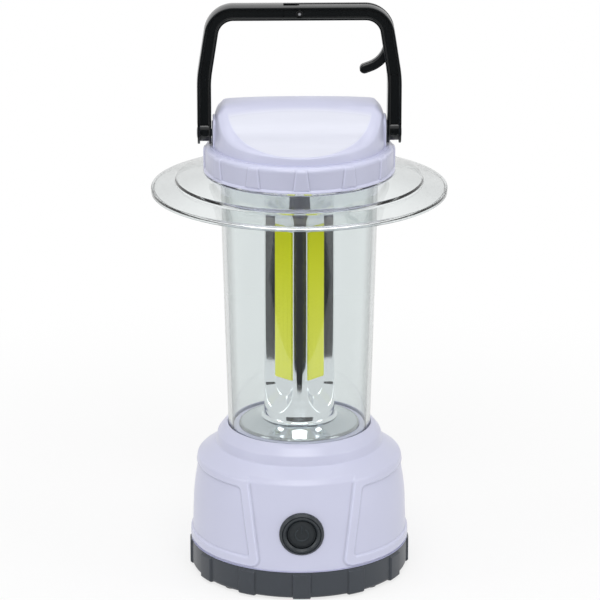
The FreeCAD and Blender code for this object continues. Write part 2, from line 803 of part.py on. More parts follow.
for side, sign in SIDES:
    spot = (sign + "board_boss_offset", "board_thickness - board_distance", "button_height")
    board_screws.append(screw("board_screw_" + side, spot, "board_thickness", "-y"))
    board_bores.append(cylinder("board_bore_" + side, BOSS_HOLE, "board_thickness", spot, "-y"))
node("driver_board", cut("board_drilled", board, board_bores))
node("board_screws", group("board_screw_pair", board_screws))

# Four standing cells, alternately up and down, in a lobed carrier with contacts in its roof
HOLDER_BASE = "(cell_base + holder_lift)"
lobes = []
bores = []
for number, angle in enumerate(DIAGONALS, start=1):
    x, y = at_angle("0", "cell_offset * sqrt(2)", angle)
    upward = number % 2
    body_base = "cell_base" if upward else "cell_base + cell_nub_height"
    nub_base = "cell_base + cell_length" if upward else "cell_base"
    can = cylinder("cell_can_%d" % number, "cell_radius", "cell_length", (x, y, body_base))
    nub = cylinder("cell_nub_%d" % number, "cell_nub_radius", "cell_nub_height", (x, y, nub_base))
    node("battery_cell_%d" % number, fuse("cell_%d" % number, [can, nub]))
    lobes.append(cylinder("lobe_%d" % number, "cell_bore + holder_wall",
                          "roof_top - " + HOLDER_BASE, (x, y, HOLDER_BASE)))
    bores.append(cylinder("cell_bore_%d" % number, "cell_bore",
                          "roof_bottom - cell_base", (x, y, "cell_base")))
roof = cylinder("holder_roof_disc", "holder_roof_radius", "holder_roof", ("0", "0", "roof_bottom"))
PAD_LOW = "(cell_offset - contact_width / 2)"
PAD_HIGH = "(cell_offset + contact_width / 2)"
core = box("holder_core", [("-cell_offset", "cell_offset"), ("-" + PAD_HIGH, PAD_HIGH),
                           ("cell_base", "roof_bottom")])
holder_screws = []
roof_bores = []
for number, (x, y) in enumerate(HOLDER_SPOTS, start=1):
    spot = (x, y, "roof_bottom")
    holder_screws.append(screw("holder_screw_%d" % number, spot, "holder_roof"))
    roof_bores.append(cylinder("roof_bore_%d" % number, BOSS_HOLE, "holder_roof", spot))
node("battery_holder", cut("holder", fuse("holder_lobes", lobes + [roof]), bores + [core] + roof_bores))
node("holder_screws", group("holder_screw_set", holder_screws))
CONTACT_UP = ("cell_top", "roof_bottom")
node("bridge_contact", box("bridge", [("-" + PAD_HIGH, PAD_HIGH), (PAD_LOW, PAD_HIGH), CONTACT_UP]))
FRONT_PAD = ("-" + PAD_HIGH, "-" + PAD_LOW)
node("positive_contact", box("positive", [(PAD_LOW, PAD_HIGH), FRONT_PAD, CONTACT_UP]))
node("negative_contact", box("negative", [FRONT_PAD, FRONT_PAD, CONTACT_UP]))

# Globe and brim, one clear moulding, on its seal
node("globe", lathe("globe", [
    ("globe_foot_radius", "globe_foot_height"),
    ("globe_neck_radius", "brim_seat_height - brim_wall", "globe_neck_round"),
    ("brim_seat_radius", "brim_seat_height - brim_wall"),
    ("brim_step_radius - brim_wall / 2", BRIM_STEP_TOP + " - brim_wall"),
    ("brim_step_radius - brim_wall / 2", BRIM_STEP_TOP + " - brim_step - brim_wall"),
    ("brim_radius - brim_lip", "brim_height - brim_wall"),
    ("brim_radius - brim_lip", "brim_height - brim_rim"),
    ("brim_radius", "brim_height - brim_rim", "brim_edge"),
    ("brim_radius", "brim_height", "brim_edge"),
    ("brim_step_radius", BRIM_STEP_TOP + " - brim_step"),
    ("brim_step_radius", BRIM_STEP_TOP),
    ("brim_seat_radius", "brim_seat_height"),
    (MOUTH_RADIUS, "brim_seat_height"),
    ("globe_foot_radius - globe_wall", "globe_foot_height"),
]))
node("globe_seal", lathe("seal", rectangle("groove_inner + globe_fit", "groove_outer - globe_fit",
                                           "seat_height", "globe_foot_height")))

# Floor reflector, a shallow dish that rises to the column
node("floor_reflector", lathe("floor_dish", [
    ("floor_radius", "deck_height"),
    ("floor_radius", "deck_height + floor_edge"),
    ("column_radius", "column_base"),
    ("wire_hole", "column_base"),
    ("wire_hole", "column_base - floor_sheet"),
    ("column_radius", "column_base - floor_sheet"),
    ("floor_radius - floor_sheet", "deck_height"),
]))

# Reflector column: a turned bar with a square bore, four flared niches and their frames
column = lathe("column", [
    ("wire_hole", "column_base"),
    ("column_radius", "column_base", "column_foot_round"),
    ("column_radius", "column_top"),
    ("wire_hole", "column_top"),
])
pocket(column, "post_bore", "XY_Plane", rectangle("-" + BORE_HALF, BORE_HALF, "-" + BORE_HALF, BORE_HALF),
       "column_top - bore_floor", offset="bore_floor")
niche = pocket(column, "niche", "XZ_Plane", [
    ("-niche_half_width", "niche_low - niche_half_width", "niche_round"),
    ("niche_half_width", "niche_low - niche_half_width", "niche_round"),
    ("niche_half_width", "niche_high + niche_half_width", "niche_round"),
    ("-niche_half_width", "niche_high + niche_half_width", "niche_round"),
], "column_radius", offset="niche_floor", taper="niche_flare")
polar(column, niche, "niche_count")
light_window = pocket(column, "light_window", "XZ_Plane",
                      rectangle("-strip_width / 2 - led_fit", "strip_width / 2 + led_fit",
                                "strip_low - led_fit", "strip_low + strip_length + led_fit"),
                      "column_radius", offset="post_half")
polar(column, light_window, "niche_count")
column.Placement = Placement(Vector(), Rotation(Vector(0, 0, 1), DIAGONALS[0]))
node("reflector_column", column)

POST_UP = ("bore_floor", "bore_floor + post_height")
post = turned_box("post_bar", ("-post_half", "post_half"), ("-post_half", "post_half"), POST_UP, DIAGONALS[0])
POST_HOLLOW = ("post_wall - post_half", "post_half - post_wall")
post_hollow = turned_box("post_hollow", POST_HOLLOW, POST_HOLLOW, POST_UP, DIAGONALS[0])
node("led_post", cut("post", post, [post_hollow]))
BOARD_FACE = "post_half + led_board_thickness"
STRIP_MIDDLE = "(strip_low + strip_length / 2)"
for number, angle in enumerate(DIAGONALS, start=1):
    node("led_board_%d" % number, turned_box(
        "led_board_%d" % number, ("-led_board_width / 2", "led_board_width / 2"), ("post_half", BOARD_FACE),
        (STRIP_MIDDLE + " - led_board_length / 2", STRIP_MIDDLE + " + led_board_length / 2"), angle))
    node("led_phosphor_%d" % number, turned_box(
        "led_phosphor_%d" % number, ("-strip_width / 2", "strip_width / 2"),
        (BOARD_FACE, "niche_floor + strip_proud"), ("strip_low", "strip_low + strip_length"), angle))

# Tie rod through the column, with its nut under the deck
rod = cylinder("rod", "rod_radius", "%s - %s + nut_height + rod_radius" % (RING_FLOOR_TOP, DECK_BOTTOM),
               ("0", "0", DECK_BOTTOM + " - nut_height - rod_radius"))
rod_head = cylinder("rod_head", "rod_head", "rod_head_height", ("0", "0", RING_FLOOR_TOP))
node("tie_rod", fuse("rod_whole", [rod, rod_head]))
nut = doc.addObject("Part::Prism", "nut")
nut.Polygon = 6
bind(nut, "Circumradius", "rod_head")
bind(nut, "Height", "nut_height")
place(nut, ("0", "0", DECK_BOTTOM + " - nut_height"))
node("tie_nut", cut("nut_bored", nut, [cylinder("nut_bore", "rod_radius + press_fit", "nut_height",
                                                ("0", "0", DECK_BOTTOM + " - nut_height"))]))

# Cap ring, its reflector plate and screws
ring = lathe("ring", [
    ("rod_radius + globe_fit", "column_top"),
    (SPIGOT_INNER, "column_top"),
    (SPIGOT_INNER, "brim_seat_height - ring_spigot_drop"),
    (SPIGOT_OUTER, "brim_seat_height - ring_spigot_drop"),
    (SPIGOT_OUTER, "brim_seat_height"),
    ("ring_radius", "brim_seat_height"),
    ("ring_radius", "ring_height", "ring_round"),
    ("cap_radius - cap_wall", "ring_height"),
    ("cap_radius - cap_wall", "ring_height - ring_lip"),
    ("ring_radius - ring_wall", "ring_height - ring_lip"),
    ("ring_radius - ring_wall", RING_FLOOR_TOP),
    ("rod_radius + globe_fit", RING_FLOOR_TOP),
])
ring_lug = pad(ring, "ring_lug", "XZ_Plane", [[
    ("-ring_lug_bottom / 2", "brim_seat_height"),
    ("ring_lug_bottom / 2", "brim_seat_height"),
    ("ring_lug_top / 2", "ring_height - ring_round"),
    ("-ring_lug_top / 2", "ring_height - ring_round"),
]], "ring_wall / 2 + ring_lug_proud", offset="ring_radius - ring_wall / 2")
polar(ring, ring_lug, "ring_lug_count")
reflector = lathe("top_plate", rectangle("column_radius + globe_fit", SPIGOT_INNER + " - globe_fit",
                                         "column_top - top_reflector_sheet", "column_top"))
cap_screws = []
ring_bores = []
head_holes = []
posts = []
post_holes = []
for side, sign in SIDES:
    spot = (sign + "cap_post_pitch", "0", "column_top")
    seat = (sign + "cap_post_pitch", "0", RING_FLOOR_TOP)
    cap_screws.append(screw("cap_screw_" + side, spot, "ring_floor"))
    ring_bores.append(cylinder("ring_bore_" + side, BOSS_HOLE, "ring_floor", spot))
    head_holes.append(cylinder("head_hole_" + side, "screw_head + globe_fit", "top_reflector_sheet",
                               (spot[0], "0", "column_top - top_reflector_sheet")))
    posts.append(cylinder("cap_post_" + side, "cap_post_radius",
                          "ring_height + cap_shoulder - " + RING_FLOOR_TOP, seat))
    post_holes.append(cylinder("cap_post_hole_" + side, BOSS_HOLE, "screw_bite + screw_tip", seat))
node("cap_ring", cut("ring_drilled", ring, ring_bores))
node("top_reflector", cut("top_plate_drilled", reflector, head_holes))
node("cap_screws", group("cap_screw_pair", cap_screws))


CAP_FAR = "(cap_radius + cap_wall)"
RIDGE_SLOPE = "((cap_apex - cap_valley) / cap_valley_offset)"
EDGE_SLOPE = "((cap_valley - cap_edge) / (%s - cap_valley_offset))" % CAP_FAR
VALLEY_ROUND = "cap_valley_reach / tan((atan(%s) - atan(%s)) / 2)" % (RIDGE_SLOPE, EDGE_SLOPE)


def cap_form(name, radius, bottom, drop):
    """What a scooped ridge along X, a crowned front outline and the round wall share."""
    level = "ring_height - %s + " % drop
    scoop = prism(name + "_scoop", "YZ_Plane", [[
        ("-" + CAP_FAR, bottom), (CAP_FAR, bottom), (CAP_FAR, level + "cap_edge"),
        ("cap_valley_offset", level + "cap_valley", VALLEY_ROUND),
        ("0", level + "cap_apex", "cap_ridge_reach / " + RIDGE_SLOPE),
        ("-cap_valley_offset", level + "cap_valley", VALLEY_ROUND),
        ("-" + CAP_FAR, level + "cap_edge"),
    ]], "cap_radius * 2 + cap_wall")
    front = prism(name + "_front", "XZ_Plane", [[
        ("-pad_face", bottom), ("pad_face", bottom),
        ("pad_face", level + "cap_shoulder", "cap_shoulder_round"),
        ("0", level + "cap_crown", "cap_crown_reach * pad_face / (cap_crown - cap_shoulder)"),
        ("-pad_face", level + "cap_shoulder", "cap_shoulder_round"),
    ]], "cap_radius * 2 + cap_wall")
    wall = cylinder(name + "_wall", radius, "cap_apex + cap_wall", ("0", "0", bottom))
    return common(name, [scoop, front, wall])


cap_outside = cap_form("cap_outside", "cap_radius", "ring_height", "0")
cap_cavity = cap_form("cap_cavity", "cap_radius - cap_wall", "ring_height - cap_wall", "cap_cavity_drop")
pads = []
pin_holes = []
for side, sign in SIDES:
    block = doc.addObject("PartDesign::Body", "pivot_pad_" + side)
    pad(block, "pivot_pad_%s_block" % side, "YZ_Plane", [[
        ("-pad_half_width", "ring_height"), ("pad_half_width", "ring_height"),
        ("pad_half_width", "pad_top", "pad_round"), ("-pad_half_width", "pad_top", "pad_round")]],
        "pin_depth + pad_backing", offset=PIN_ROOT + " - pad_backing")
    turn = 180 if sign else 0
    block.Placement = Placement(Vector(), Rotation(Vector(0, 0, 1), turn))
    pads.append(block)
    pin_holes.append(cylinder("pin_hole_" + side, "pin_radius + press_fit", "pin_depth",
                              (sign + PIN_ROOT, "0", "pivot_height"), sign + "x"))
cap_hollow = cut("cap_hollow", cap_outside, [cap_cavity])
node("cap_shell", cut("cap", fuse("cap_whole", [cap_hollow] + pads + posts), post_holes + pin_holes))

# Bail: an H section carried up one leg, over the bar and down the other, forked at its pivots
half = "bail_depth / 2"
RIM_INNER = "(bail_inner + bail_rim)"
RIM_OUTER = "(bail_edge - bail_rim)"
section_front = [("bail_inner", half), (RIM_INNER, half), (RIM_INNER, CHANNEL_FLOOR),
                 (RIM_OUTER, CHANNEL_FLOOR), (RIM_OUTER, half), ("bail_edge", half)]
crown = [("-(bail_outer + bail_crown)", "0", "bail_crown_round")]
bail_section = ([("-" + x, "-(%s)" % y) for x, y in section_front] + crown
                + [("-" + x, y) for x, y in reversed(section_front)])
bail_path = [("-bail_middle", "pivot_height"),
             ("-bail_middle", "bail_bend_height", "bail_bend_round"),
             ("-bail_bar_half", "bail_bar_height", "bail_corner_round"),
             ("bail_bar_half", "bail_bar_height", "bail_corner_round"),
             ("bail_middle", "bail_bend_height", "bail_bend_round"),
             ("bail_middle", "pivot_height")]
bow = swept("bow", bail_path, bail_section, "XY_Plane", "pivot_height")
ends = []
gaps = []
barrels = []
pivot_bores = []
for side, sign in SIDES:
    way = sign + "x"
    foot = (sign + "bail_inner", "0", "pivot_height")
    near = (sign + RIM_INNER, "0", "pivot_height")
    span = "%s - %s" % (RIM_OUTER, RIM_INNER)
    ends.append(cylinder("bail_end_" + side, half, "bail_width - bail_crown", foot, way))
    low, high = (RIM_INNER, RIM_OUTER) if not sign else ("-" + RIM_OUTER, "-" + RIM_INNER)
    gaps.append(box("bail_fork_" + side, [(low, high), ("-bail_depth", "bail_depth"),
                                          ("pivot_height - bail_depth", "pivot_height + bail_web_clear")]))
    barrels.append(cylinder("bail_barrel_" + side, "barrel_radius", span, near, way))
    pivot_bores.append(cylinder("bail_bore_" + side, "pin_radius + running_fit", "bail_width", foot, way))
    pivot_bores.append(cylinder("pin_seat_" + side, "pin_head + bail_gap", "bail_width",
                                (sign + "bail_edge", "0", "pivot_height"), way))
slot = box("hook_slot", [("-slot_end", "bail_outer + bail_width"), ("-" + SLOT_HALF, SLOT_HALF),
                         ("slot_bottom", "bail_bar_height + bail_width")])
pin_bore = cylinder("hook_pin_bore", "hook_pin_radius + press_fit", "bail_depth",
                    ("0", "-bail_depth / 2", "hook_axis"), "y")
forked = cut("bail_forked", fuse("bail_ends", [bow] + ends), gaps)
node("bail", cut("bail_whole", fuse("bail_barrels", [forked] + barrels), pivot_bores + [slot, pin_bore]))

for side, sign in SIDES:
    way = sign + "x"
    start = (sign + PIN_ROOT, "0", "pivot_height")
    stop = (sign + PIN_STOP, "0", "pivot_height")
    shaft = cylinder("pin_shaft_" + side, "pin_radius", "%s - %s" % (PIN_STOP, PIN_ROOT), start, way)
    head = cylinder("pin_head_" + side, "pin_head", "pin_head_height", stop, way)
    node("pivot_pin_" + side, fuse("pin_" + side, [shaft, head]))
    face = (sign + "pad_face", "0", "pivot_height")
    disc = cylinder("washer_disc_" + side, "washer_radius", "washer_thickness", face, way)
    eye = cylinder("washer_eye_" + side, "pin_radius + press_fit", "washer_thickness", face, way)
    node("pivot_washer_" + side, cut("washer_" + side, disc, [eye]))

# Hanging hook: a bar with a rounded section that lies in the bail's slot and curls inwards at its tip
LEAN = "(bail_middle - bail_bar_half) / (bail_bar_height - bail_bend_height)"
hook_path = [("0", "hook_axis"),
             ("bail_bar_half", "hook_axis", "bail_corner_round"),
             ("bail_bar_half + hook_curl_drop * " + LEAN, "hook_axis - hook_curl_drop", "hook_curl_round"),
             ("hook_tip_offset", "hook_tip_height")]
hook_corners = rectangle("-hook_thickness / 2", "hook_thickness / 2",
                         "hook_axis - hook_width / 2", "hook_axis + hook_width / 2")
arm = swept("hook_arm", hook_path, [(y, z, "hook_edge") for y, z in hook_corners], "YZ_Plane", "0")
hub_side = ("0", "-hook_thickness / 2", "hook_axis")
tip_side = ("hook_tip_offset", "-hook_thickness / 2", "hook_tip_height")
hub = cylinder("hook_hub", "hook_hub_radius", "hook_thickness", hub_side, "y")
tip = cylinder("hook_tip", "hook_width / 2", "hook_thickness", tip_side, "y")
hub_bore = cylinder("hook_bore", "hook_pin_radius + running_fit", "hook_thickness", hub_side, "y")
node("hanging_hook", cut("hook", fuse("hook_whole", [arm, hub, tip]), [hub_bore]))
front_floor = ("0", "-" + CHANNEL_FLOOR, "hook_axis")
back_floor = ("0", CHANNEL_FLOOR, "hook_axis")
pin_shank = cylinder("hook_pin_shank", "hook_pin_radius", CHANNEL_FLOOR + " * 2", front_floor, "y")
pin_front = cylinder("hook_pin_front", "hook_pin_head", "hook_pin_head_height", front_floor, "-y")
pin_back = cylinder("hook_pin_back", "hook_pin_head", "hook_pin_head_height", back_floor, "y")
node("hook_pin", fuse("hook_pin_whole", [pin_shank, pin_front, pin_back]))

doc.recompute()
for item in doc.Objects:
    if "Invalid" in item.State or "Error" in item.State:
        raise RuntimeError("failed: %s %s" % (item.Name, item.State))
for item in NODES:
    if item.Shape.isNull() or not item.Shape.isValid() or not item.Shape.Solids:
        raise RuntimeError("bad shape: " + item.Label)

os.makedirs("parts", exist_ok=True)
for item in NODES:
    item.Shape.exportStep("parts/%s.step" % item.Label)
    print("%-20s %d solid(s), %.1f mm3" % (item.Label, len(item.Shape.Solids), item.Shape.Volume))
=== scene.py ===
"""Camping lantern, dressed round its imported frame: surfaces, finishes, studio and camera."""

import json
import math

import bmesh
import bpy
import numpy as np
from bpy.props import FloatProperty, FloatVectorProperty, PointerProperty
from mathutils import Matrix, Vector

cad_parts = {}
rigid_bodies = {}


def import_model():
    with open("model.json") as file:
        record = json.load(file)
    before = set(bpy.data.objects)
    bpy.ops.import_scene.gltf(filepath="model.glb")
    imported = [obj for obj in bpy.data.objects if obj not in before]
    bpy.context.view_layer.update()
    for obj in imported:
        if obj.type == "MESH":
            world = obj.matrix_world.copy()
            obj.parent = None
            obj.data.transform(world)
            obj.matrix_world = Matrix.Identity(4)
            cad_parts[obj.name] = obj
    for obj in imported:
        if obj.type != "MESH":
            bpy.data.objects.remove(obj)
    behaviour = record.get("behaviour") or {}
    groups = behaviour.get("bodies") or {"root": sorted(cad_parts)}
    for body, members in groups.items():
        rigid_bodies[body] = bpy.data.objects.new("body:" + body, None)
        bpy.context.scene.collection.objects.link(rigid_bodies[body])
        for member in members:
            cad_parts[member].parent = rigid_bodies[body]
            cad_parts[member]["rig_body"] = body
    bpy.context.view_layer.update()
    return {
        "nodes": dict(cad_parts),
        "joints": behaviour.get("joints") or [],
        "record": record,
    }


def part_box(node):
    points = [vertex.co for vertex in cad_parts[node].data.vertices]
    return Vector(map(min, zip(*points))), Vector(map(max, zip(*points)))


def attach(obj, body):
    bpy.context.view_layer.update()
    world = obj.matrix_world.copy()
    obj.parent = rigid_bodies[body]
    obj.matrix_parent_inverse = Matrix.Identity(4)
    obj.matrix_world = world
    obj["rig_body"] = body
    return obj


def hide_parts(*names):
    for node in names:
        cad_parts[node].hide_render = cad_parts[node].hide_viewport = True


bl_info = {
    "name": "Camping Lantern",
    "version": (1, 0, 0),
    "blender": (4, 5, 0),
    "location": "View3D > Sidebar > Lantern",
    "description": "Builds the surfaces and finishes of a camping lantern round its packed frame",
    "category": "Add Mesh",
}

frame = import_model()
MM = 0.001
# A gap between faces that just clear each other, and the distance from an arc to the points beside it
HAIR = 0.02 * MM
SUPPORT = 0.03 * MM
MERGE = 1e-7
LEAST_ANGLE = 1e-6
SHARP_ANGLE = 35


def span(node):
    """Lowest and highest corners of a node of the frame."""
    low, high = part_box(node)
    return np.array(low), np.array(high)


HOUSING_LOW, HOUSING_HIGH = span("base_housing")
BEZEL_LOW, BEZEL_HIGH = span("button_bezel")
BUTTON_LOW, BUTTON_HIGH = span("power_button")
GLOBE_LOW, GLOBE_HIGH = span("globe")
COLUMN_LOW, COLUMN_HIGH = span("reflector_column")
DISH_LOW, DISH_HIGH = span("floor_reflector")
RING_LOW, RING_HIGH = span("cap_ring")
STRIP_LOW, STRIP_HIGH = span("led_phosphor_1")
COVER_FOOT = span("battery_cover")[0][2]
PAD_FACE = span("cap_shell")[1][0]
BAIL_HIGH = span("bail")[1]
HOOK_HALF = span("hanging_hook")[1][1]
WASHER_FACE = span("pivot_washer_right")[1][0]
BUTTON_HEIGHT = (BUTTON_LOW[2] + BUTTON_HIGH[2]) / 2
JOINTS = {joint["name"]: joint for joint in frame["joints"]}
PIVOT = float(JOINTS["bail_fold"]["pos_m"][2])
HOOK_PIVOT = float(JOINTS["hook_flip"]["pos_m"][2])


def length(name, default, description):
    """A size, given in millimetres and kept in metres."""
    return FloatProperty(name=name, description=description, default=default * MM, unit="LENGTH", precision=5)


def colour(name, default, description):
    """A colour, given as it shows on a screen from 0 to 255 and kept as linear light."""
    linear = [((level / 255 + 0.055) / 1.055) ** 2.4 for level in default]
    return FloatVectorProperty(name=name, description=description, default=linear, subtype="COLOR", size=3,
                               min=0, max=1)


class LanternSizes(bpy.types.PropertyGroup):
    """Sizes that shape the pieces. Outer sizes come from the frame."""

    parting_gap: length("Parting gap", 0.3, "Gap between the cover and the housing")
    housing_wall: length("Housing wall", 2.6, "Thickness of the base housing")
    waist_draw: length("Waist draw", 1.0, "How far the waist lies inside the housing's foot")
    waist_rise: length("Waist rise", 29.4, "Height of the waist over the housing's foot")
    shoulder_draw: length("Shoulder draw", 4.2, "How far the shoulder lies inside the housing's foot")
    shoulder_drop: length("Shoulder drop", 18.0, "Height of the collar's top over the shoulder")
    shoulder_rise: length("Shoulder rise", 7.0, "Rise of the shoulder towards the collar")
    shoulder_width: length("Shoulder width", 14.6, "From the collar to the housing's foot")
    collar_side: length("Collar side", 5.4, "Height of the collar's steep side")
    collar_width: length("Collar width", 6.3, "From the collar's side to the globe's groove")
    deck_drop: length("Deck drop", 0.8, "Depth of the deck under the collar's top")
    panel_depth: length("Panel depth", 1.0, "Depth of the fields beside the panel frames")
    panel_frame: length("Panel frame", 4.9, "Width of the raised frame of a side panel")
    panel_rise: length("Panel rise", 1.4, "Height of a frame's lower edge over the housing's foot")
    panel_drop: length("Panel drop", 4.2, "Depth of a panel's upper edge under the shoulder")
    panel_front_low: length("Panel front, low", 22.8, "Half width of the front field at its foot")
    panel_front_high: length("Panel front, high", 28.9, "Half width of the front field at the shoulder")
    panel_edge: length("Panel edge", 0.9, "Width of the soft edge of a panel frame")
    cover_lug: length("Cover lug", 9.8, "Width of a grip lug on the cover")
    cover_lug_proud: length("Cover lug height", 1.1, "How far a grip lug stands out")
    globe_wall: length("Globe wall", 2.2, "Thickness of the clear globe")
    globe_flare: length("Globe flare", 4.0, "How much wider the globe is at its neck")
    brim_step: length("Brim step", 2.1, "Height of the step in the brim")
    brim_step_inset: length("Brim step inset", 12.8, "From the rim to the step in the brim")
    niche_depth: length("Niche depth", 6.8, "Depth of a niche in the column")
    niche_half_width: length("Niche half width", 6.3, "Half width of a niche's floor")
    niche_rise: length("Niche rise", 20.1, "From the column's foot to a niche's round end")
    niche_drop: length("Niche drop", 31.4, "From the column's top to a niche's round end")
    strip_width: length("Strip width", 12.4, "Width of a light strip")
    ring_lug_top: length("Ring lug, top", 5.4, "Width of a lug of the cap ring at its top")
    ring_lug_bottom: length("Ring lug, bottom", 9.0, "Width of a lug of the cap ring at its foot")
    ring_lug_proud: length("Ring lug height", 0.8, "How far a lug of the cap ring stands out")
    cap_inset: length("Cap inset", 4.6, "How far the cap lies inside its ring")
    cap_lean: length("Cap lean", 1.2, "How far the top of the cap wall leans in")
    cap_bevel: length("Cap bevel", 5.4, "Width of the bevel round the scooped faces, at its widest")
    bail_width: length("Bail width", 7.7, "Width of the bail seen from the front")
    bail_rim: length("Bail rim", 1.3, "Thickness of the bail's rims")
    bail_channel: length("Bail channel", 1.6, "Depth of the channels in the bail")
    bail_crown: length("Bail crown", 0.55, "Height of the rounded back of the bail's bar")
    leg_crown: length("Leg crown", 0.25, "Height of the rounded back of the bail's legs")
    hook_width: length("Hook width", 5.2, "Width of the hook seen from the front")


class LanternColours(bpy.types.PropertyGroup):
    """Colours of the finishes."""

    lavender: colour("Lavender", (204, 206, 228), "Moulded base, ring and cap")
    # Painted shade: the ring is the same lavender plastic; this deeper tone stands in for the shade on its
    # face
    ring: colour("Ring", (194, 196, 218), "Cap ring, a shade deeper than the rest")
    # Painted highlight: the scoops are the same lavender plastic; this paler tone stands in for the light
    # that they face
    lit_facet: colour("Facet", (219, 221, 233), "Polished scoops of the cap")
    charcoal: colour("Charcoal", (57, 62, 69), "Battery cover")
    bezel: colour("Bezel", (40, 46, 51), "Ring round the push button")
    button: colour("Button", (24, 30, 34), "Soft push button")
    black: colour("Black", (9, 13, 15), "Bail and hook")
    clear: colour("Clear", (235, 239, 239), "Tint of the globe")
    chrome: colour("Chrome", (240, 241, 243), "Reflectors")
    # Painted shade: the dish is a mirror; this darker tint stands in for the darker things that it mirrors
    dish: colour("Dish", (204, 207, 210), "Reflector dish at the foot of the column")
    phosphor: colour("Phosphor", (224, 231, 40), "Light strips, at their top")
    phosphor_pale: colour("Pale phosphor", (238, 243, 100), "Light strips, at their foot")
    rubber: colour("Rubber", (40, 41, 43), "Feet and seals")
    steel: colour("Steel", (196, 198, 202), "Pins, screws and the tie rod")
    floor: colour("Floor", (250, 250, 250), "Studio floor")


# Shapes


def rounded(corners, steps=8, closed=False):
    """Points along straight runs between corners (x, y, radius), each corner turned by a tangent arc.

    A point a hair's breadth before and after each arc keeps the flats beside it flat in smooth shading.
    """
    spots = np.array([corner[:2] for corner in corners], float)
    radii = np.array([corner[2] if len(corner) > 2 else 0 for corner in corners], float)
    if not closed:
        radii[[0, -1]] = 0
    back = np.roll(spots, 1, axis=0) - spots
    ahead = np.roll(spots, -1, axis=0) - spots
    runs = np.linalg.norm(ahead, axis=1)
    back /= np.maximum(np.roll(runs, 1), SUPPORT)[:, None]
    ahead /= np.maximum(runs, SUPPORT)[:, None]
    halves = np.arccos(np.clip((back * ahead).sum(1), -1, 1)) / 2
    reach = np.where(radii > 0, radii / np.tan(np.maximum(halves, LEAST_ANGLE)), 0)
    roomy = runs - reach - np.roll(reach, -1) > 4 * SUPPORT
    points = []
    for i, radius in enumerate(radii):
        if not radius:
            points.append(spots[i][None])
            continue
        middle = back[i] + ahead[i]
        centre = spots[i] + middle / np.linalg.norm(middle) * radius / np.sin(halves[i])
        start = spots[i] + back[i] * reach[i] - centre
        turn = -np.sign(back[i, 0] * ahead[i, 1] - back[i, 1] * ahead[i, 0])
        angles = np.linspace(0, np.pi - 2 * halves[i], steps + 1) * turn
        arc = centre + np.stack([start[0] * np.cos(angles) - start[1] * np.sin(angles),
                                 start[0] * np.sin(angles) + start[1] * np.cos(angles)], 1)
        before = arc[:1] + back[i] * SUPPORT
        after = arc[-1:] + ahead[i] * SUPPORT
        points += [before] * int(roomy[i - 1]) + [arc] + [after] * int(roomy[i])
    return np.concatenate(points)


def in_mm(corners):
    """Corners written in millimetres, in metres."""
    return [tuple(value * MM for value in corner) for corner in corners]


def subdivided(points, step):
    """A line of points with its long runs divided into equal parts no longer than a step."""
    runs = np.linalg.norm(np.diff(points, axis=0), axis=1)
    parts = np.maximum(np.ceil(runs / step), 1).astype(int)
    stations = np.concatenate([k + np.arange(n) / n for k, n in enumerate(parts)] + [[len(parts)]])
    return np.stack([np.interp(stations, np.arange(len(points)), points[:, axis])
                     for axis in range(points.shape[1])], 1)


def smoothstep(low, high, values):
    """0 below low, 1 above high, and an S between."""
    share = np.clip((values - low) / (high - low), 0, 1)
    return share * share * (3 - 2 * share)


def soft_min(first, second, width):
    """The lesser of two values, with the crease between them rounded over a width."""
    share = np.clip(0.5 + 0.5 * (second - first) / width, 0, 1)
    return second * (1 - share) + first * share - width * share * (1 - share)


def corner_distance(first, second, radius):
    """Distance inside two half planes whose common corner is rounded by a radius."""
    inside = radius - np.hypot(np.maximum(radius - first, 0), np.maximum(radius - second, 0))
    return np.where((first < radius) & (second < radius), inside, np.minimum(first, second))


def edge_highlight_and_shade(beyond, width):
    """Bell curves beside an edge: above 0, painted highlight just before it; below 0, painted shade just past
    it.
    """
    return np.exp(-((beyond + width) / width) ** 2) - np.exp(-((beyond - width) / width) ** 2)


def ring_angles(count):
    """Equal turns round a circle, from the front towards +X."""
    return np.arange(count) * 2 * np.pi / count


def turned(radii, heights, angles):
    """Points of a surface turned about Z: radii and heights by row, angles from the front (-Y) by column."""
    return np.stack(np.broadcast_arrays(radii * np.sin(angles), -radii * np.cos(angles), heights), -1)


def lathe(profile, count=128):
    """A half section of (radius, height) points turned about Z."""
    return turned(profile[:, :1], profile[:, 1:], ring_angles(count)[None])


def along_y(points, height):
    """A turned surface laid with its axis to the front, at a height: its own height is the way forward."""
    return np.stack([points[..., 0], -points[..., 2], height + points[..., 1]], -1)


def along_x(points, height, side):
    """A turned surface laid with its axis to one side, at a height."""
    return np.stack([side * points[..., 2], points[..., 0], height + points[..., 1]], -1)


def swept(path, section):
    """A section of (outward, y) points carried square to a path of (x, z) points, its ends closed."""
    run = np.gradient(path, axis=0)
    run /= np.linalg.norm(run, axis=1, keepdims=True)
    outward = np.stack([-run[:, 1], run[:, 0]], 1)
    x = path[:, None, 0] + outward[:, None, 0] * section[..., 0]
    z = path[:, None, 1] + outward[:, None, 1] * section[..., 0]
    body = np.stack([x, np.broadcast_to(section[..., 1], x.shape), z], -1)
    first, last = (np.broadcast_to(end.mean(1, keepdims=True), end.shape) for end in (body[:1], body[-1:]))
    return np.concatenate([first, body, last])


def plate(outline, near, far, edge):
    """A flat plate in the YZ plane between two x values, its rims bevelled and its faces closed."""
    middle = outline.mean(0)
    reach = np.linalg.norm(outline - middle, axis=1, keepdims=True)
    inner = outline - (outline - middle) / reach * edge
    side = np.sign(far - near)
    centre = np.broadcast_to(middle, outline.shape)
    rows = [(centre, near), (inner, near), (outline, near + side * edge), (outline, far - side * edge),
            (inner, far), (centre, far)]
    return np.stack([np.column_stack([np.full(len(row), x), row]) for row, x in rows])


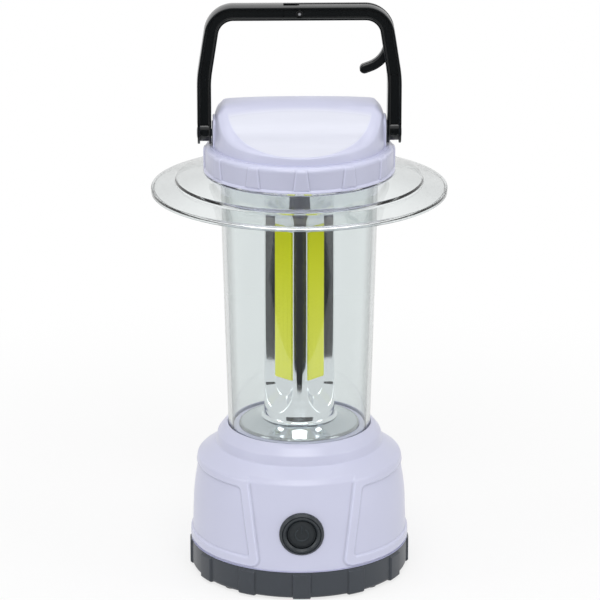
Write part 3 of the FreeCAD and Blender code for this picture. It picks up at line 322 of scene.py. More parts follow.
def surface(name, grids, sharp=SHARP_ANGLE, edge=None):
    """One object of closed grids: each grid's rows are rings, and rows that meet in a point are merged there.

    The edge, if given, says by point where a single grid is paler (above 0) or darker (below 0): painted
    highlight and painted shade beside edges, and the button's paler sign.
    """
    points, faces, start = [], [], 0
    for grid in grids:
        rows, columns = grid.shape[:2]
        index = start + np.arange(rows * columns).reshape(rows, columns)
        after = np.roll(index, -1, axis=1)
        faces.append(np.stack([index[:-1], after[:-1], after[1:], index[1:]], -1).reshape(-1, 4))
        points.append(grid.reshape(-1, 3))
        start += rows * columns
    mesh = bpy.data.meshes.new(name)
    mesh.from_pydata(np.concatenate(points).tolist(), [], np.concatenate(faces).tolist())
    if edge is not None:
        values = mesh.attributes.new("edge", "FLOAT", "POINT").data
        values.foreach_set("value", np.broadcast_to(edge, grids[0].shape[:2]).ravel().astype(np.float32))
    tidy = bmesh.new()
    tidy.from_mesh(mesh)
    bmesh.ops.remove_doubles(tidy, verts=tidy.verts, dist=MERGE)
    bmesh.ops.recalc_face_normals(tidy, faces=tidy.faces)
    tidy.to_mesh(mesh)
    tidy.free()
    mesh.shade_smooth()
    mesh.set_sharp_from_angle(angle=math.radians(sharp))
    piece = bpy.data.objects.new(name, mesh)
    bpy.context.scene.collection.objects.link(piece)
    return piece


def install(piece, material, body, slot, *nodes):
    """Give a piece its finish, its body and the nodes that it stands for."""
    piece.data.materials.append(material)
    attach(piece, body)
    for node in nodes:
        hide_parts(node)


def carrier(node):
    """The body that carries a node of the frame."""
    return frame["nodes"][node]["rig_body"]


# Finishes


class Wire:
    """A socket in a material's tree. Arithmetic on it adds Math nodes."""

    def __init__(self, tree, socket):
        self.tree = tree
        self.socket = socket

    def node(self, kind, settings=None, inputs=None, output=0):
        """Any node: its type, the settings that are set first, and the values or links of its sockets."""
        made = self.tree.nodes.new(kind)
        for key, setting in (settings or {}).items():
            setattr(made, key, setting)
        for key, entry in (inputs or {}).items():
            if isinstance(entry, Wire):
                self.tree.links.new(entry.socket, made.inputs[key])
            else:
                made.inputs[key].default_value = entry
        return Wire(self.tree, made.outputs[output])

    def math(self, operation, *terms):
        """A Math node on values and wires."""
        return self.node("ShaderNodeMath", {"operation": operation}, dict(enumerate(terms)))

    def __add__(self, other):
        return self.math("ADD", self, other)

    __radd__ = __add__

    def __sub__(self, other):
        return self.math("SUBTRACT", self, other)

    def __rsub__(self, other):
        return self.math("SUBTRACT", other, self)

    def __mul__(self, other):
        return self.math("MULTIPLY", self, other)

    __rmul__ = __mul__

    def __abs__(self):
        return self.math("ABSOLUTE", self)

    def fraction(self):
        """What this value has past a whole number."""
        return self.math("FRACT", self)

    def reach(self, other):
        """Distance from where this value and another are both 0."""
        return self.math("SQRT", self * self + other * other)

    def between(self, low, high):
        """0 at low, 1 at high, with an S between."""
        return self.node("ShaderNodeMapRange", {"interpolation_type": "SMOOTHSTEP"},
                         {0: self, 1: low, 2: high, 3: 0.0, 4: 1.0})

    def mix(self, first, second):
        """From the first colour to the second, by this value."""
        return self.node("ShaderNodeMix", {"data_type": "RGBA"}, {0: self, 6: first, 7: second}, 2)

    def noise(self, scale, detail=2.0, roughness=0.5):
        """Cloudy noise on this place, from 0 to 1."""
        return self.node("ShaderNodeTexNoise", None,
                         {"Vector": self, "Scale": scale, "Detail": detail, "Roughness": roughness})

    def stretched(self, x, y, z):
        """This place, scaled by axis."""
        return self.node("ShaderNodeVectorMath", {"operation": "MULTIPLY"}, {0: self, 1: (x, y, z)})

    def axis(self, letter):
        """One coordinate of this place."""
        return self.node("ShaderNodeSeparateXYZ", None, {0: self}, "XYZ".index(letter))

    def edge(self):
        """Where the piece is paler, above 0, or darker, below 0: painted highlight and painted shade beside
        edges, and the button's paler sign.
        """
        return self.node("ShaderNodeAttribute", {"attribute_name": "edge"}, None, "Fac")

    def bump(self, distance):
        """A normal bent by this height, in metres."""
        return self.node("ShaderNodeBump", None, {"Height": self, "Distance": distance})


def finish(name, recipe, **sockets):
    """A material: the recipe, given the place on the surface, returns what changes, and the rest is set."""
    material = bpy.data.materials.new(name)
    material.use_nodes = True
    tree = material.node_tree
    shader = tree.nodes["Principled BSDF"]
    place = Wire(tree, tree.nodes.new("ShaderNodeTexCoord").outputs["Object"])
    for key, entry in sockets.items():
        shader.inputs[key.replace("_", " ").title().replace("Ior", "IOR")].default_value = entry
    for key, wire in recipe(place).items():
        tree.links.new(wire.socket, shader.inputs[key])
    return material


def rgba(tint, gain=1.0):
    """A colour with a gain, as a socket takes it."""
    return tuple(min(level * gain, 1.0) for level in tint) + (1.0,)


# Scale, detail and roughness of each noise
FLOW_MARKS = (38.0, 3.0)
FINE_GRAIN = (2600.0, 2.0, 0.6)
COARSE_GRAIN = (900.0,)
SMEARS = (24.0, 3.0)
# The part of a noise's range that changes a colour
CLOUDS = (0.3, 0.7)
# Gains of the painted highlight and painted shade beside edges
HIGHLIGHT_GAIN = 1.12
SHADE_GAIN = 0.84
DULL_GLOSS = 0.4


def mottled(share, tint):
    """A colour that varies faintly with a share."""
    return share.mix(rgba(tint, 0.985), rgba(tint, 1.01))


def moulded(name, tint, roughness, grain, gloss=0.5):
    """Moulded plastic: faint flow marks and smears, a fine grain, and painted highlight (edge above 0) and
    painted shade (edge below 0) beside edges.
    """

    def recipe(place):
        fine = place.noise(*FINE_GRAIN)
        edge = place.edge()
        # Painted highlight where the edge is above 0, painted shade where it is below 0
        highlight_share = edge.between(0.0, 1.0)
        plain = mottled(place.noise(*FLOW_MARKS).between(*CLOUDS) * 0.5 + fine * 0.5, tint)
        with_shade = (0.0 - edge).between(0.0, 1.0).mix(plain, rgba(tint, SHADE_GAIN))
        return {
            "Base Color": highlight_share.mix(with_shade, rgba(tint, HIGHLIGHT_GAIN)),
            "Roughness": roughness + (place.noise(*SMEARS) - 0.5) * 0.02 - highlight_share * 0.04,
            "Normal": (fine * 0.7 + place.noise(*COARSE_GRAIN) * 0.3).bump(grain),
        }

    return finish(name, recipe, specular_ior_level=gloss)


BEVEL_LEAST = 0.9 * MM
BEVEL_TURN = (math.radians(12), math.radians(58))
BEVEL_END = (math.radians(68), math.radians(88))
BEVEL_EASED = 2.0 * MM
BEVEL_DROP = 0.5
BEVEL_SOFT = 0.7 * MM
RIDGE_REACH = 10.6 * MM
RIDGE_SOFT = 1.6 * MM
RIDGE_BOW = 1.5
# Painted reflection: faint streaks across the polished scoops
REFLECTION_STREAKS = (240.0, 3.0)


def scooped(name, tint, lit_facet, radius, bevel):
    """The cap's plastic: the moulded finish, polished on the scooped faces inside their bevel, where a paler
    tone with faint streaks is painted highlight and painted reflection.
    """

    def recipe(place):
        x, y = place.axis("X"), place.axis("Y")
        along = abs(y)
        lean = x.math("ARCTAN2", abs(x), along)
        edge = radius - BEVEL_LEAST - lean.between(*BEVEL_TURN) * (bevel - BEVEL_LEAST)
        inside = 1.0 - (x.reach(y) - edge).between(-BEVEL_SOFT, BEVEL_SOFT)
        past_ridge = (along - x * x * RIDGE_BOW).between(RIDGE_REACH - RIDGE_SOFT, RIDGE_REACH + RIDGE_SOFT)
        # The scooped faces: polished, and paler as painted highlight
        face = past_ridge * inside
        flow = place.noise(*FLOW_MARKS)
        reflection_streak = place.stretched(0.12, 1.0, 1.0).noise(*REFLECTION_STREAKS)
        plain = mottled(flow.between(*CLOUDS), tint)
        pale = mottled(reflection_streak.between(*CLOUDS), lit_facet)
        return {
            "Base Color": face.mix(plain, pale),
            "Roughness": 0.32 - face * 0.06 + (flow - 0.5) * 0.03,
            "Normal": (place.noise(*FINE_GRAIN) * (1.0 - face * 0.7)).bump(0.012 * MM),
        }

    return finish(name, recipe)


def soft_rubber(name, tint):
    """Rubber: matt, with a powdery bloom, a coarse grain, and paler where the edge attribute is above 0, as
    on the button's raised sign.
    """

    def recipe(place):
        bloom = place.noise(120.0, 4.0, 0.65)
        plain = bloom.between(0.35, 0.75).mix(rgba(tint), rgba(tint, 1.25))
        return {
            "Base Color": place.edge().between(0.0, 1.0).mix(plain, rgba(tint, 1.8)),
            "Roughness": 0.52 + bloom * 0.2,
            "Normal": place.noise(3000.0).bump(0.02 * MM),
        }

    return finish(name, recipe, specular_ior_level=DULL_GLOSS)


# Painted shade: a darker band inside the dish's rim
RIM_SHADE_BAND = (2.4 * MM, 0.9 * MM)


def metallised(name, tint, rim=None):
    """Bright metallised plastic: a mirror with faint waves, haze and dust, and a band of painted shade inside
    any rim.
    """

    def recipe(place):
        haze = place.noise(170.0, 4.0, 0.6)
        dust = place.noise(2400.0, 1.0).between(0.74, 0.80)
        bright = haze.between(0.3, 0.8).mix(rgba(tint, 0.98), rgba(tint))
        if rim:
            start, end = (rim - inset for inset in RIM_SHADE_BAND)
            bright = place.axis("X").reach(place.axis("Y")).between(start, end).mix(bright, rgba(tint, 0.6))
        return {
            "Base Color": bright,
            "Roughness": 0.035 + haze.between(0.45, 0.8) * 0.03 + dust * 0.12,
            "Normal": place.noise(14.0).bump(0.06 * MM),
        }

    return finish(name, recipe, metallic=1.0)


CLEAR_IOR = 1.42
LEANING_GAIN = 0.57
EDGEWISE_GAIN = 0.28


def clear_moulding(name, tint):
    """Clear polished plastic: tinted, more so where it is seen edgewise, with faint haze and waves."""

    def recipe(place):
        haze = place.noise(55.0, 4.0, 0.6)
        wave = place.stretched(1.0, 1.0, 0.3).noise(26.0)
        facing = place.node("ShaderNodeLayerWeight", None, {"Blend": 0.5}, "Facing")
        plain = haze.between(0.25, 0.8).mix(rgba(tint), rgba(tint, 0.985))
        leaning = facing.between(0.52, 0.72).mix(plain, rgba(tint, LEANING_GAIN))
        return {
            "Base Color": facing.between(0.74, 0.92).mix(leaning, rgba(tint, EDGEWISE_GAIN)),
            "Roughness": 0.012 + haze.between(0.5, 0.85) * 0.03,
            "Normal": wave.bump(0.05 * MM),
        }

    return finish(name, recipe, transmission_weight=1.0, ior=CLEAR_IOR)


LAMP_ROW = 2.3 * MM
LAMP_LANE = 4.4 * MM


def light_strip(name, top, foot, low, high):
    """Phosphor over rows of small lamps: paler towards the foot, with faint dots and a grainy skin."""

    def recipe(place):
        height = place.axis("Z")
        across = abs(place.axis("X")) - abs(place.axis("Y"))
        row = (height * (1 / LAMP_ROW)).fraction() - 0.5
        lane = (across * (1 / LAMP_LANE) + 0.5).fraction() - 0.5
        dots = 1.0 - (row * row + lane * lane * 2.0).between(0.01, 0.05)
        skin = place.noise(1500.0, 3.0)
        base = (height.between(low, high) + (skin - 0.5) * 0.2).mix(rgba(foot), rgba(top))
        return {
            "Base Color": (dots * 0.35).mix(base, rgba(top, 0.72)),
            "Roughness": 0.42 + skin * 0.2,
            "Normal": (skin * 0.6 + dots * 0.4).bump(0.05 * MM),
        }

    return finish(name, recipe, specular_ior_level=0.1)


BRIGHT_MIDDLE = (0.4 * MM, 1.0 * MM)


def drawn_metal(name, tint, roughness, height=None):
    """Turned or drawn metal: fine rings, a little stain, and near black round a bright middle at a height, if
    any.
    """

    def recipe(place):
        rings = place.stretched(30.0, 30.0, 1.0).noise(90.0, 3.0, 0.6)
        metal_tone = place.noise(70.0, 4.0, 0.6).between(0.4, 0.8).mix(rgba(tint), rgba(tint, 0.82))
        if height:
            reach = place.axis("X").reach(place.axis("Z") - height)
            metal_tone = reach.between(*BRIGHT_MIDDLE).mix(metal_tone, rgba(tint, 0.05))
        return {
            "Base Color": metal_tone,
            "Roughness": roughness + rings * 0.14,
            "Normal": rings.bump(0.01 * MM),
        }

    return finish(name, recipe, metallic=1.0)


# Linear colours of what is hardly seen
INNER_TINT = (0.62, 0.62, 0.60)
PIN_TINT = (0.03, 0.033, 0.036)
CONTACT_TINT = (0.72, 0.62, 0.42)
LED_TINT = (0.80, 0.80, 0.81)
CELL_TINT = (0.30, 0.31, 0.33)
BOARD_TINT = (0.02, 0.13, 0.05)
# Filled once, by finishes()
FINISHES = {}


def finishes(context):
    """The materials, made once from the scene's colours."""
    if FINISHES:
        return FINISHES
    tints = context.scene.lantern_colours
    sizes = context.scene.lantern_sizes
    cap_radius = RING_HIGH[0] - sizes.ring_lug_proud - sizes.cap_inset - sizes.cap_lean / 2
    recipes = {
        "lavender_plastic": (moulded, tints.lavender, 0.28, 0.003 * MM),
        # The ring's deeper tint is painted shade
        "ring_plastic": (moulded, tints.ring, 0.28, 0.003 * MM),
        "cap_plastic": (scooped, tints.lavender, tints.lit_facet, cap_radius, sizes.cap_bevel),
        "dark_plastic": (moulded, tints.charcoal, 0.36, 0.014 * MM, DULL_GLOSS),
        "bezel_plastic": (moulded, tints.bezel, 0.26, 0.006 * MM, DULL_GLOSS),
        "black_plastic": (moulded, tints.black, 0.20, 0.004 * MM),
        "inner_plastic": (moulded, INNER_TINT, 0.5, 0.01 * MM),
        "button_rubber": (soft_rubber, tints.button),
        "foot_rubber": (soft_rubber, tints.rubber),
        "seal_rubber": (soft_rubber, tints.rubber),
        "clear_plastic": (clear_moulding, tints.clear),
        "bright_reflector": (metallised, tints.chrome),
        # The dish's darker tint and its rim band are painted shade
        "dish_reflector": (metallised, tints.dish, DISH_HIGH[0]),
        "led_phosphor": (light_strip, tints.phosphor, tints.phosphor_pale, STRIP_LOW[2], STRIP_HIGH[2]),
        "fixing_steel": (drawn_metal, tints.steel, 0.22),
        "rivet_steel": (drawn_metal, tints.steel, 0.3, HOOK_PIVOT),
        "pin_steel": (drawn_metal, PIN_TINT, 0.3),
        "contact_metal": (drawn_metal, CONTACT_TINT, 0.2),
        "led_metal": (drawn_metal, LED_TINT, 0.3),
        "cell_can": (drawn_metal, CELL_TINT, 0.3),
        "circuit_board": (moulded, BOARD_TINT, 0.35, 0.01 * MM),
    }
    for name, (make, *values) in recipes.items():
        FINISHES[name] = make(name, *values)
    return FINISHES


# Pieces


class Piece:
    """What the piece operators share."""

    bl_options = {"REGISTER", "UNDO"}

    def execute(self, context):
        """Build the piece from the scene's sizes and finishes."""
        self.build(context.scene.lantern_sizes, finishes(context))
        return {"FINISHED"}


FOOT_CHAMFER = 0.3 * MM
COLLAR_FOOT = 0.2 * MM
COLLAR_LEAN = 0.6 * MM
CREST_WIDTH = 2.3 * MM
CREST_DROP = 1.2 * MM
LIP_WIDTH = 0.4 * MM
LIP_DROP = 0.5 * MM
GROOVE_PLAY = 0.9 * MM
SEAT_DEPTH = 3.0 * MM
ROOF_DRAW = 4 * MM
RAIL_START = 1.2 * MM
RAIL_END = 3.0 * MM
SPACING_DRAW = 2 * MM
PANEL_ROUND = 5.0 * MM
PANEL_CORNER = 2.0 * MM
PANEL_FADE = (0.2 * MM, 2.4 * MM)
# Width, inner share and drop of the painted highlight and shade along the panel frames' edges
EDGE_LIGHT_WIDTH = 0.55 * MM
INNER_EDGE_LIGHT = 0.6
EDGE_LIGHT_DROP = 1.5 * MM
BUTTON_HOLE = 10.0 * MM
HOLE_EDGE = 1.6 * MM
HOLE_DEPTH = 9.0 * MM


class BuildHousing(Piece, bpy.types.Operator):
    """Base housing with its framed side panels, shoulder, collar and deck."""

    bl_idname = "lantern.build_housing"
    bl_label = "Base housing"

    def profile(self, size):
        """Half section: up the outside, over the collar, into the groove, across the deck and back inside."""
        foot, top = HOUSING_LOW[2], HOUSING_HIGH[2]
        radius = HOUSING_HIGH[0]
        shoulder = top - size.shoulder_drop
        slope = shoulder + size.shoulder_rise
        collar = radius - size.shoulder_width
        groove = collar - size.collar_width
        inner_groove = groove - size.globe_wall - GROOVE_PLAY
        deck = top - size.deck_drop
        seat = deck - SEAT_DEPTH
        wall = size.housing_wall
        outside = rounded([
            (radius - FOOT_CHAMFER, foot), (radius, foot + FOOT_CHAMFER),
            (radius - size.waist_draw, foot + size.waist_rise, 100 * MM),
            (radius - size.shoulder_draw, shoulder, 2.8 * MM), (collar + COLLAR_FOOT, slope, 1.0 * MM),
            (collar - COLLAR_LEAN, slope + size.collar_side, 3 * MM),
            (groove + CREST_WIDTH, top - CREST_DROP, 8 * MM),
            (groove + LIP_WIDTH, top, 0.3 * MM), (groove, top - LIP_DROP)], steps=12)
        inside = np.array([
            (groove, seat), (inner_groove, seat), (inner_groove, deck), (0, deck), (0, deck - wall),
            (inner_groove - wall, deck - wall), (inner_groove - wall, seat - wall),
            (collar - wall, seat - wall), (collar - wall, shoulder),
            (radius - wall - ROOF_DRAW, shoulder - wall),
            (radius - wall - FOOT_CHAMFER, foot), (radius - FOOT_CHAMFER, foot)])
        return np.concatenate([subdivided(outside, step=0.5 * MM), subdivided(inside, step=4 * MM)])

    def columns(self, size, height):
        """Half widths of one quarter's columns at each height: they follow the lean of the panel frames."""
        shoulder = HOUSING_HIGH[2] - size.shoulder_drop
        foot = HOUSING_LOW[2]
        share = np.clip((height - foot) / (shoulder - foot), 0, 1)
        near = size.panel_front_low + (size.panel_front_high - size.panel_front_low) * share
        front = np.linspace(0, 1, 24)[:-1] * (near - RAIL_START)
        rail = near + np.linspace(-RAIL_START, size.panel_frame + RAIL_END, 34)
        return np.concatenate([front, rail], 1), near

    def recess(self, size, across, height, near):
        """How far the fields are let in, from 0 on the frames to 1, and lines of painted highlight and shade
        along the frames' edges.

        Both follow from distances inside the frames' rounded outlines.
        """
        shoulder = HOUSING_HIGH[2] - size.shoulder_drop
        first = across - near
        second = height - HOUSING_LOW[2] - size.panel_rise
        outer = corner_distance(first, second, PANEL_ROUND)
        top = shoulder - size.panel_drop - height
        inner = corner_distance(first - size.panel_frame, np.minimum(second - size.panel_frame, top),
                                PANEL_CORNER)
        edge = size.panel_edge / 2
        raised = smoothstep(-edge, edge, outer) * (1 - smoothstep(-edge, edge, inner))
        under = 1 - smoothstep(*PANEL_FADE, height - shoulder)
        # Painted highlight and painted shade in lines along the frames' edges
        lines = edge_highlight_and_shade(-outer, EDGE_LIGHT_WIDTH) + INNER_EDGE_LIGHT * edge_highlight_and_shade(inner, EDGE_LIGHT_WIDTH)
        return (1 - raised) * under, lines * (height < shoulder - EDGE_LIGHT_DROP)

    def build(self, size, looks):
        """The half section turned, with the panel fields and the button's hole taken off its radius."""
        profile = self.profile(size)
        radii, heights = profile[:, :1], profile[:, 1:]
        across, near = self.columns(size, heights)
        full = np.maximum(radii, HOUSING_HIGH[0] - size.shoulder_draw - SPACING_DRAW)
        quarter = np.arcsin(np.clip(across / full, 0, 1))
        side = quarter[:, -1:] + (np.pi / 2 - quarter[:, -1:]) * np.linspace(0, 1, 18)[1:]
        quarter = np.concatenate([quarter, side], 1)
        half = np.concatenate([quarter, np.pi - quarter[:, -2:0:-1]], 1)
        angles = np.concatenate([half, np.pi + half], 1)
        recess, edge = self.recess(size, np.abs(full * np.sin(angles)), heights, near)
        outer = np.arange(len(profile))[:, None] < np.argmax(heights) + 1
        bore = np.hypot(radii * np.sin(angles), heights - BUTTON_HEIGHT)
        hole = (1 - smoothstep(-HOLE_EDGE, HOLE_EDGE, bore - BUTTON_HOLE)) * (np.cos(angles) > 0)
        shrink = (recess * size.panel_depth + hole * HOLE_DEPTH) * outer
        # The edge carries the painted highlight and shade along the frames
        piece = surface("base_housing_shell", [turned(radii - shrink, heights, angles)], edge=edge * outer)
        install(piece, looks["lavender_plastic"], "lantern", "lavender_plastic", "base_housing")


LUG_COUNT = 12
LUG_EDGE = 0.35 * MM
LUG_SPREAD = 3


def lug_columns(half_width, radius):
    """Angles of columns round a ring of lugs, closer at each lug's sides, wherever these lie at each height.

    With them come two masks: 1 on the lugs, and painted highlight and shade along the lugs' sides.
    """
    pitch = 2 * np.pi / LUG_COUNT
    half = half_width / radius
    soft = LUG_EDGE / radius
    spread = LUG_SPREAD * soft
    sides = np.linspace(-1, 1, 13) * spread
    lug = np.linspace(-1, 1, 7)[1:-1] * (half - spread)
    gap = half + spread + (pitch - 2 * (half + spread)) * np.linspace(0, 1, 7)[1:-1]
    one = np.concatenate([sides - half, lug, sides + half, gap], 1)
    angles = (one[:, None] + np.arange(LUG_COUNT)[None, :, None] * pitch).reshape(len(one), -1)
    offset = np.abs(np.tile(one, (1, LUG_COUNT)))
    beside = np.minimum(offset, pitch - offset) * radius - half_width
    return angles, 1 - smoothstep(-LUG_EDGE, LUG_EDGE, beside), edge_highlight_and_shade(beside, LUG_EDGE)


COVER_INSET = 0.6 * MM
COVER_WALL = 3.6 * MM
COVER_FLOOR = 2.6 * MM
COVER_FLAT = 6 * MM
COVER_ROUND = 2.4 * MM
COVER_LIP = 0.1 * MM
# Strength of the painted highlight and shade beside the cover's lugs
COVER_EDGE_LIGHT = 0.7
LUG_FOOT = 0.9 * MM
LUG_TOP = (-1.3 * MM, -0.9 * MM)


class BuildCover(Piece, bpy.types.Operator):
    """Battery cover with its grip lugs."""

    bl_idname = "lantern.build_cover"
    bl_label = "Battery cover"

    def build(self, size, looks):
        """A rounded cup, whose radius gains a flat-faced lug twelve times round."""
        foot, top = COVER_FOOT, HOUSING_LOW[2] - size.parting_gap
        radius = HOUSING_HIGH[0] - COVER_INSET
        inner = radius - COVER_WALL
        wall = rounded([(radius - COVER_FLAT, foot), (radius, foot, COVER_ROUND), (radius, top, 0.4 * MM),
                        (inner, top)])
        floor = [(inner, foot + COVER_FLOOR), (0, foot + COVER_FLOOR)]
        profile = np.concatenate([[(0, foot)], subdivided(wall, step=0.6 * MM), floor])
        radii, heights = profile[:, :1], profile[:, 1:]
        angles, lugs, lines = lug_columns(np.full_like(heights, size.cover_lug / 2), radius)
        outer = (radii > inner + HAIR) & (heights < top - COVER_LIP)
        lugs = lugs * outer * (1 - smoothstep(*LUG_TOP, heights - top))
        ends = LUG_FOOT * (1 - smoothstep(0, LUG_FOOT, heights - foot))
        grown = radii + lugs * np.maximum(radius + size.cover_lug_proud - ends - radii, 0)
        # Painted highlight and shade beside the lugs
        edge = lines * (outer * COVER_EDGE_LIGHT)
        piece = surface("battery_cover_cup", [turned(grown, heights, angles)], edge=edge)
        install(piece, looks["dark_plastic"], "cover", "dark_plastic", "battery_cover")


SOLE_HOLLOW = 0.1 * MM
SOLE_SHARE = 0.6


class BuildFeet(Piece, bpy.types.Operator):
    """Four rubber feet under the cover."""

    bl_idname = "lantern.build_feet"
    bl_label = "Feet"

    def build(self, size, looks):
        """Small turned pads with rounded rims and slightly hollow soles."""
        for number in range(1, 5):
            node = "foot_%d" % number
            low, high = span(node)
            radius = (high[0] - low[0]) / 2
            sole = low[2]
            pad = rounded([(0, sole + SOLE_HOLLOW), (radius * SOLE_SHARE, sole), (radius, sole, 0.5 * MM),
                           (radius, high[2]), (0, high[2])], steps=6)
            centre = (low + high) / 2
            grid = lathe(pad, count=48) + np.array([centre[0], centre[1], 0])
            install(surface(node + "_pad", [grid]), looks["foot_rubber"], "cover", "foot_rubber", node)


BEZEL_BORE = 8.1 * MM
BEZEL_SEAT = 2.6 * MM
BEZEL_LIP = 3.6 * MM
BEZEL_SIDE = 1.5 * MM
BEZEL_DRAFT = 0.2 * MM
MOUTH_WIDTH = 1.0 * MM
MOUTH_DROP = 1.3 * MM
MOUTH_RIM = 0.3 * MM
SLEEVE_INSIDE = 1.4 * MM
SLEEVE_OUTSIDE = 2.1 * MM
CREASE_INSET = 1.5 * MM
CREASE_WIDTH = 0.6 * MM
CREASE_DEPTH = 0.7 * MM
CREASE_STEP = 0.1 * MM
BUTTON_PLAY = 0.3 * MM
DOME_RIM = 2.2 * MM
DOME_FALL = 0.12 * MM
DOME_SIDE = 0.9 * MM
BUTTON_SKIRT = 3.4 * MM
BUTTON_BACK = 4.6 * MM
BUTTON_FLANGE = 1.2 * MM
BUTTON_TOP = 0.6 * MM
SIGN_RADIUS = 3.5 * MM
SIGN_LINE = 0.45 * MM
SIGN_HEIGHT = 0.45 * MM
SIGN_GAP = math.radians(38)
SIGN_BAR = (0.35, 1.35)
SIGN_SOFT = (0.5, 1.4)
SIGN_SUNK = 0.8


class BuildButton(Piece, bpy.types.Operator):
    """Push button with its raised sign, and the bezel round it."""

    bl_idname = "lantern.build_button"
    bl_label = "Push button"

    def sign(self, across, up):
        """Height of the on and off sign: a ring open at its top, and a short bar through the opening."""
        ring = np.abs(np.hypot(across, up) - SIGN_RADIUS)
        opening = np.abs(np.arctan2(across, up)) < SIGN_GAP
        ring = np.where(opening, np.hypot(np.abs(across) - SIGN_RADIUS * np.sin(SIGN_GAP),
                                          up - SIGN_RADIUS * np.cos(SIGN_GAP)), ring)
        start, end = (SIGN_RADIUS * share for share in SIGN_BAR)
        line = np.minimum(ring, np.hypot(across, up - np.clip(up, start, end)))
        near, far = (SIGN_LINE * share for share in SIGN_SOFT)
        return SIGN_HEIGHT * (1 - smoothstep(near, far, line))

    def bezel(self):
        """Half section: up the bore, over a face with a crease near its rim, and down the sleeve."""
        face, back = -BEZEL_LOW[1], -BEZEL_HIGH[1]
        outer = (BEZEL_HIGH[0] - BEZEL_LOW[0]) / 2
        crease = outer - CREASE_INSET
        bore, lip, seat = BEZEL_BORE, face - BEZEL_LIP, face - BEZEL_SEAT
        return rounded([
            (bore, lip), (bore, face - MOUTH_DROP, 0.4 * MM),
            (bore + MOUTH_WIDTH, face - MOUTH_RIM, 0.6 * MM),
            (crease - CREASE_WIDTH, face - CREASE_STEP, 0.2 * MM),
            (crease - CREASE_WIDTH / 2, face - CREASE_DEPTH), (crease, face, 0.2 * MM),
            (outer - BEZEL_DRAFT, face - BEZEL_SIDE, 0.5 * MM), (outer, seat), (bore + SLEEVE_OUTSIDE, seat),
            (bore + SLEEVE_OUTSIDE, back), (bore + SLEEVE_INSIDE, back), (bore + SLEEVE_INSIDE, lip),
            (bore, lip)])

    def build(self, size, looks):
        """Two turned pieces laid to the front; the button's face is lowered round its sign."""
        bezel = surface("button_bezel_ring", [along_y(lathe(self.bezel()), BUTTON_HEIGHT)])
        install(bezel, looks["bezel_plastic"], "lantern", "dark_plastic", "button_bezel")
        front = -BUTTON_LOW[1]
        radius = BEZEL_BORE - BUTTON_PLAY
        skirt, back = front - BUTTON_SKIRT, front - BUTTON_BACK
        dome = rounded([(0, front), (radius - DOME_RIM, front - DOME_FALL, 6 * MM),
                        (radius, front - DOME_SIDE, 0.7 * MM), (radius, skirt)], steps=10)
        stem = [(radius + BUTTON_FLANGE, skirt), (radius + BUTTON_FLANGE, back), (0, back)]
        grid = lathe(np.concatenate([subdivided(dome, step=0.14 * MM), stem]), count=160)
        top = grid[..., 2] > front - BUTTON_TOP
        sign = self.sign(grid[..., 0], grid[..., 1]) * top
        grid[..., 2] += sign - SIGN_HEIGHT * SIGN_SUNK * top
        dome = along_y(grid, BUTTON_HEIGHT)
        button = surface("power_button_dome", [dome], sharp=50, edge=sign / SIGN_HEIGHT)
        install(button, looks["button_rubber"], "button", "button_rubber", "power_button")


TUBE_PLAY = 0.3 * MM
SHELF_WIDTH = 8.5 * MM
BRIM_DROP = 9.5 * MM
BRIM_RISE = 3.2 * MM
BRIM_SLOPE = 0.6 * MM
RIM_WIDTH = 2 * MM
RIM_HEIGHT = 2.9 * MM


class BuildGlobe(Piece, bpy.types.Operator):
    """Clear globe with its brim."""

    bl_idname = "lantern.build_globe"
    bl_label = "Globe"

    def build(self, size, looks):
        """One closed half section, turned: a tapered tube, a seat for the cap ring and a stepped brim."""
        foot, seat = GLOBE_LOW[2], GLOBE_HIGH[2]
        rim = GLOBE_HIGH[0] - SUPPORT
        wall = size.globe_wall
        low = HOUSING_HIGH[0] - size.shoulder_width - size.collar_width - TUBE_PLAY
        neck = low + size.globe_flare
        shelf = neck + SHELF_WIDTH
        step = rim - size.brim_step_inset
        under = step - wall / 2
        edge = seat - BRIM_DROP
        rise = edge + BRIM_RISE
        above = rise + size.brim_step
        section = rounded([
            (low, foot), (neck, seat - wall, 3 * MM), (shelf, seat - wall, 4 * MM),
            (under - BRIM_SLOPE, above - wall, 0.4 * MM), (under, rise - wall, 0.5 * MM),
            (rim - RIM_WIDTH, edge - wall, 0.6 * MM), (rim - RIM_WIDTH, edge - RIM_HEIGHT, 0.4 * MM),
            (rim, edge - RIM_HEIGHT, 0.5 * MM), (rim, edge, 0.5 * MM), (step, rise, 0.5 * MM),
            (step - BRIM_SLOPE, above, 0.4 * MM), (shelf, seat, 4 * MM), (neck - wall, seat, 0.5 * MM),
            (low - wall, foot), (low, foot)])
        piece = surface("globe_moulding", [lathe(subdivided(section, step=4 * MM), count=224)])
        piece.visible_shadow = False
        piece.visible_diffuse = False
        install(piece, looks["clear_plastic"], "lantern", "clear_plastic", "globe")


NICHE_SLOPE = math.tan(math.radians(40))
NICHE_EDGE = 0.9 * MM
NICHE_SIDE = (6.2 * MM, 11.6 * MM)
ROUND_END = 6 * MM
PLAIN_RUN = 8 * MM
FOOT_HIGH = 4.4 * MM
FOOT_LOW = 1.9 * MM
FOOT_DRAFT = math.tan(math.radians(4.5))
FOOT_FLARE = 1.4 * MM
BOWL_WIDTH = 0.4 * MM
BOWL_DROP = 0.4 * MM
BOWL_RIM = 0.2 * MM
DISH_FLAT = 7 * MM
DISH_RISE = 2.0 * MM
DISH_LIP = 0.6 * MM
DISH_LIP_RISE = 1.2 * MM


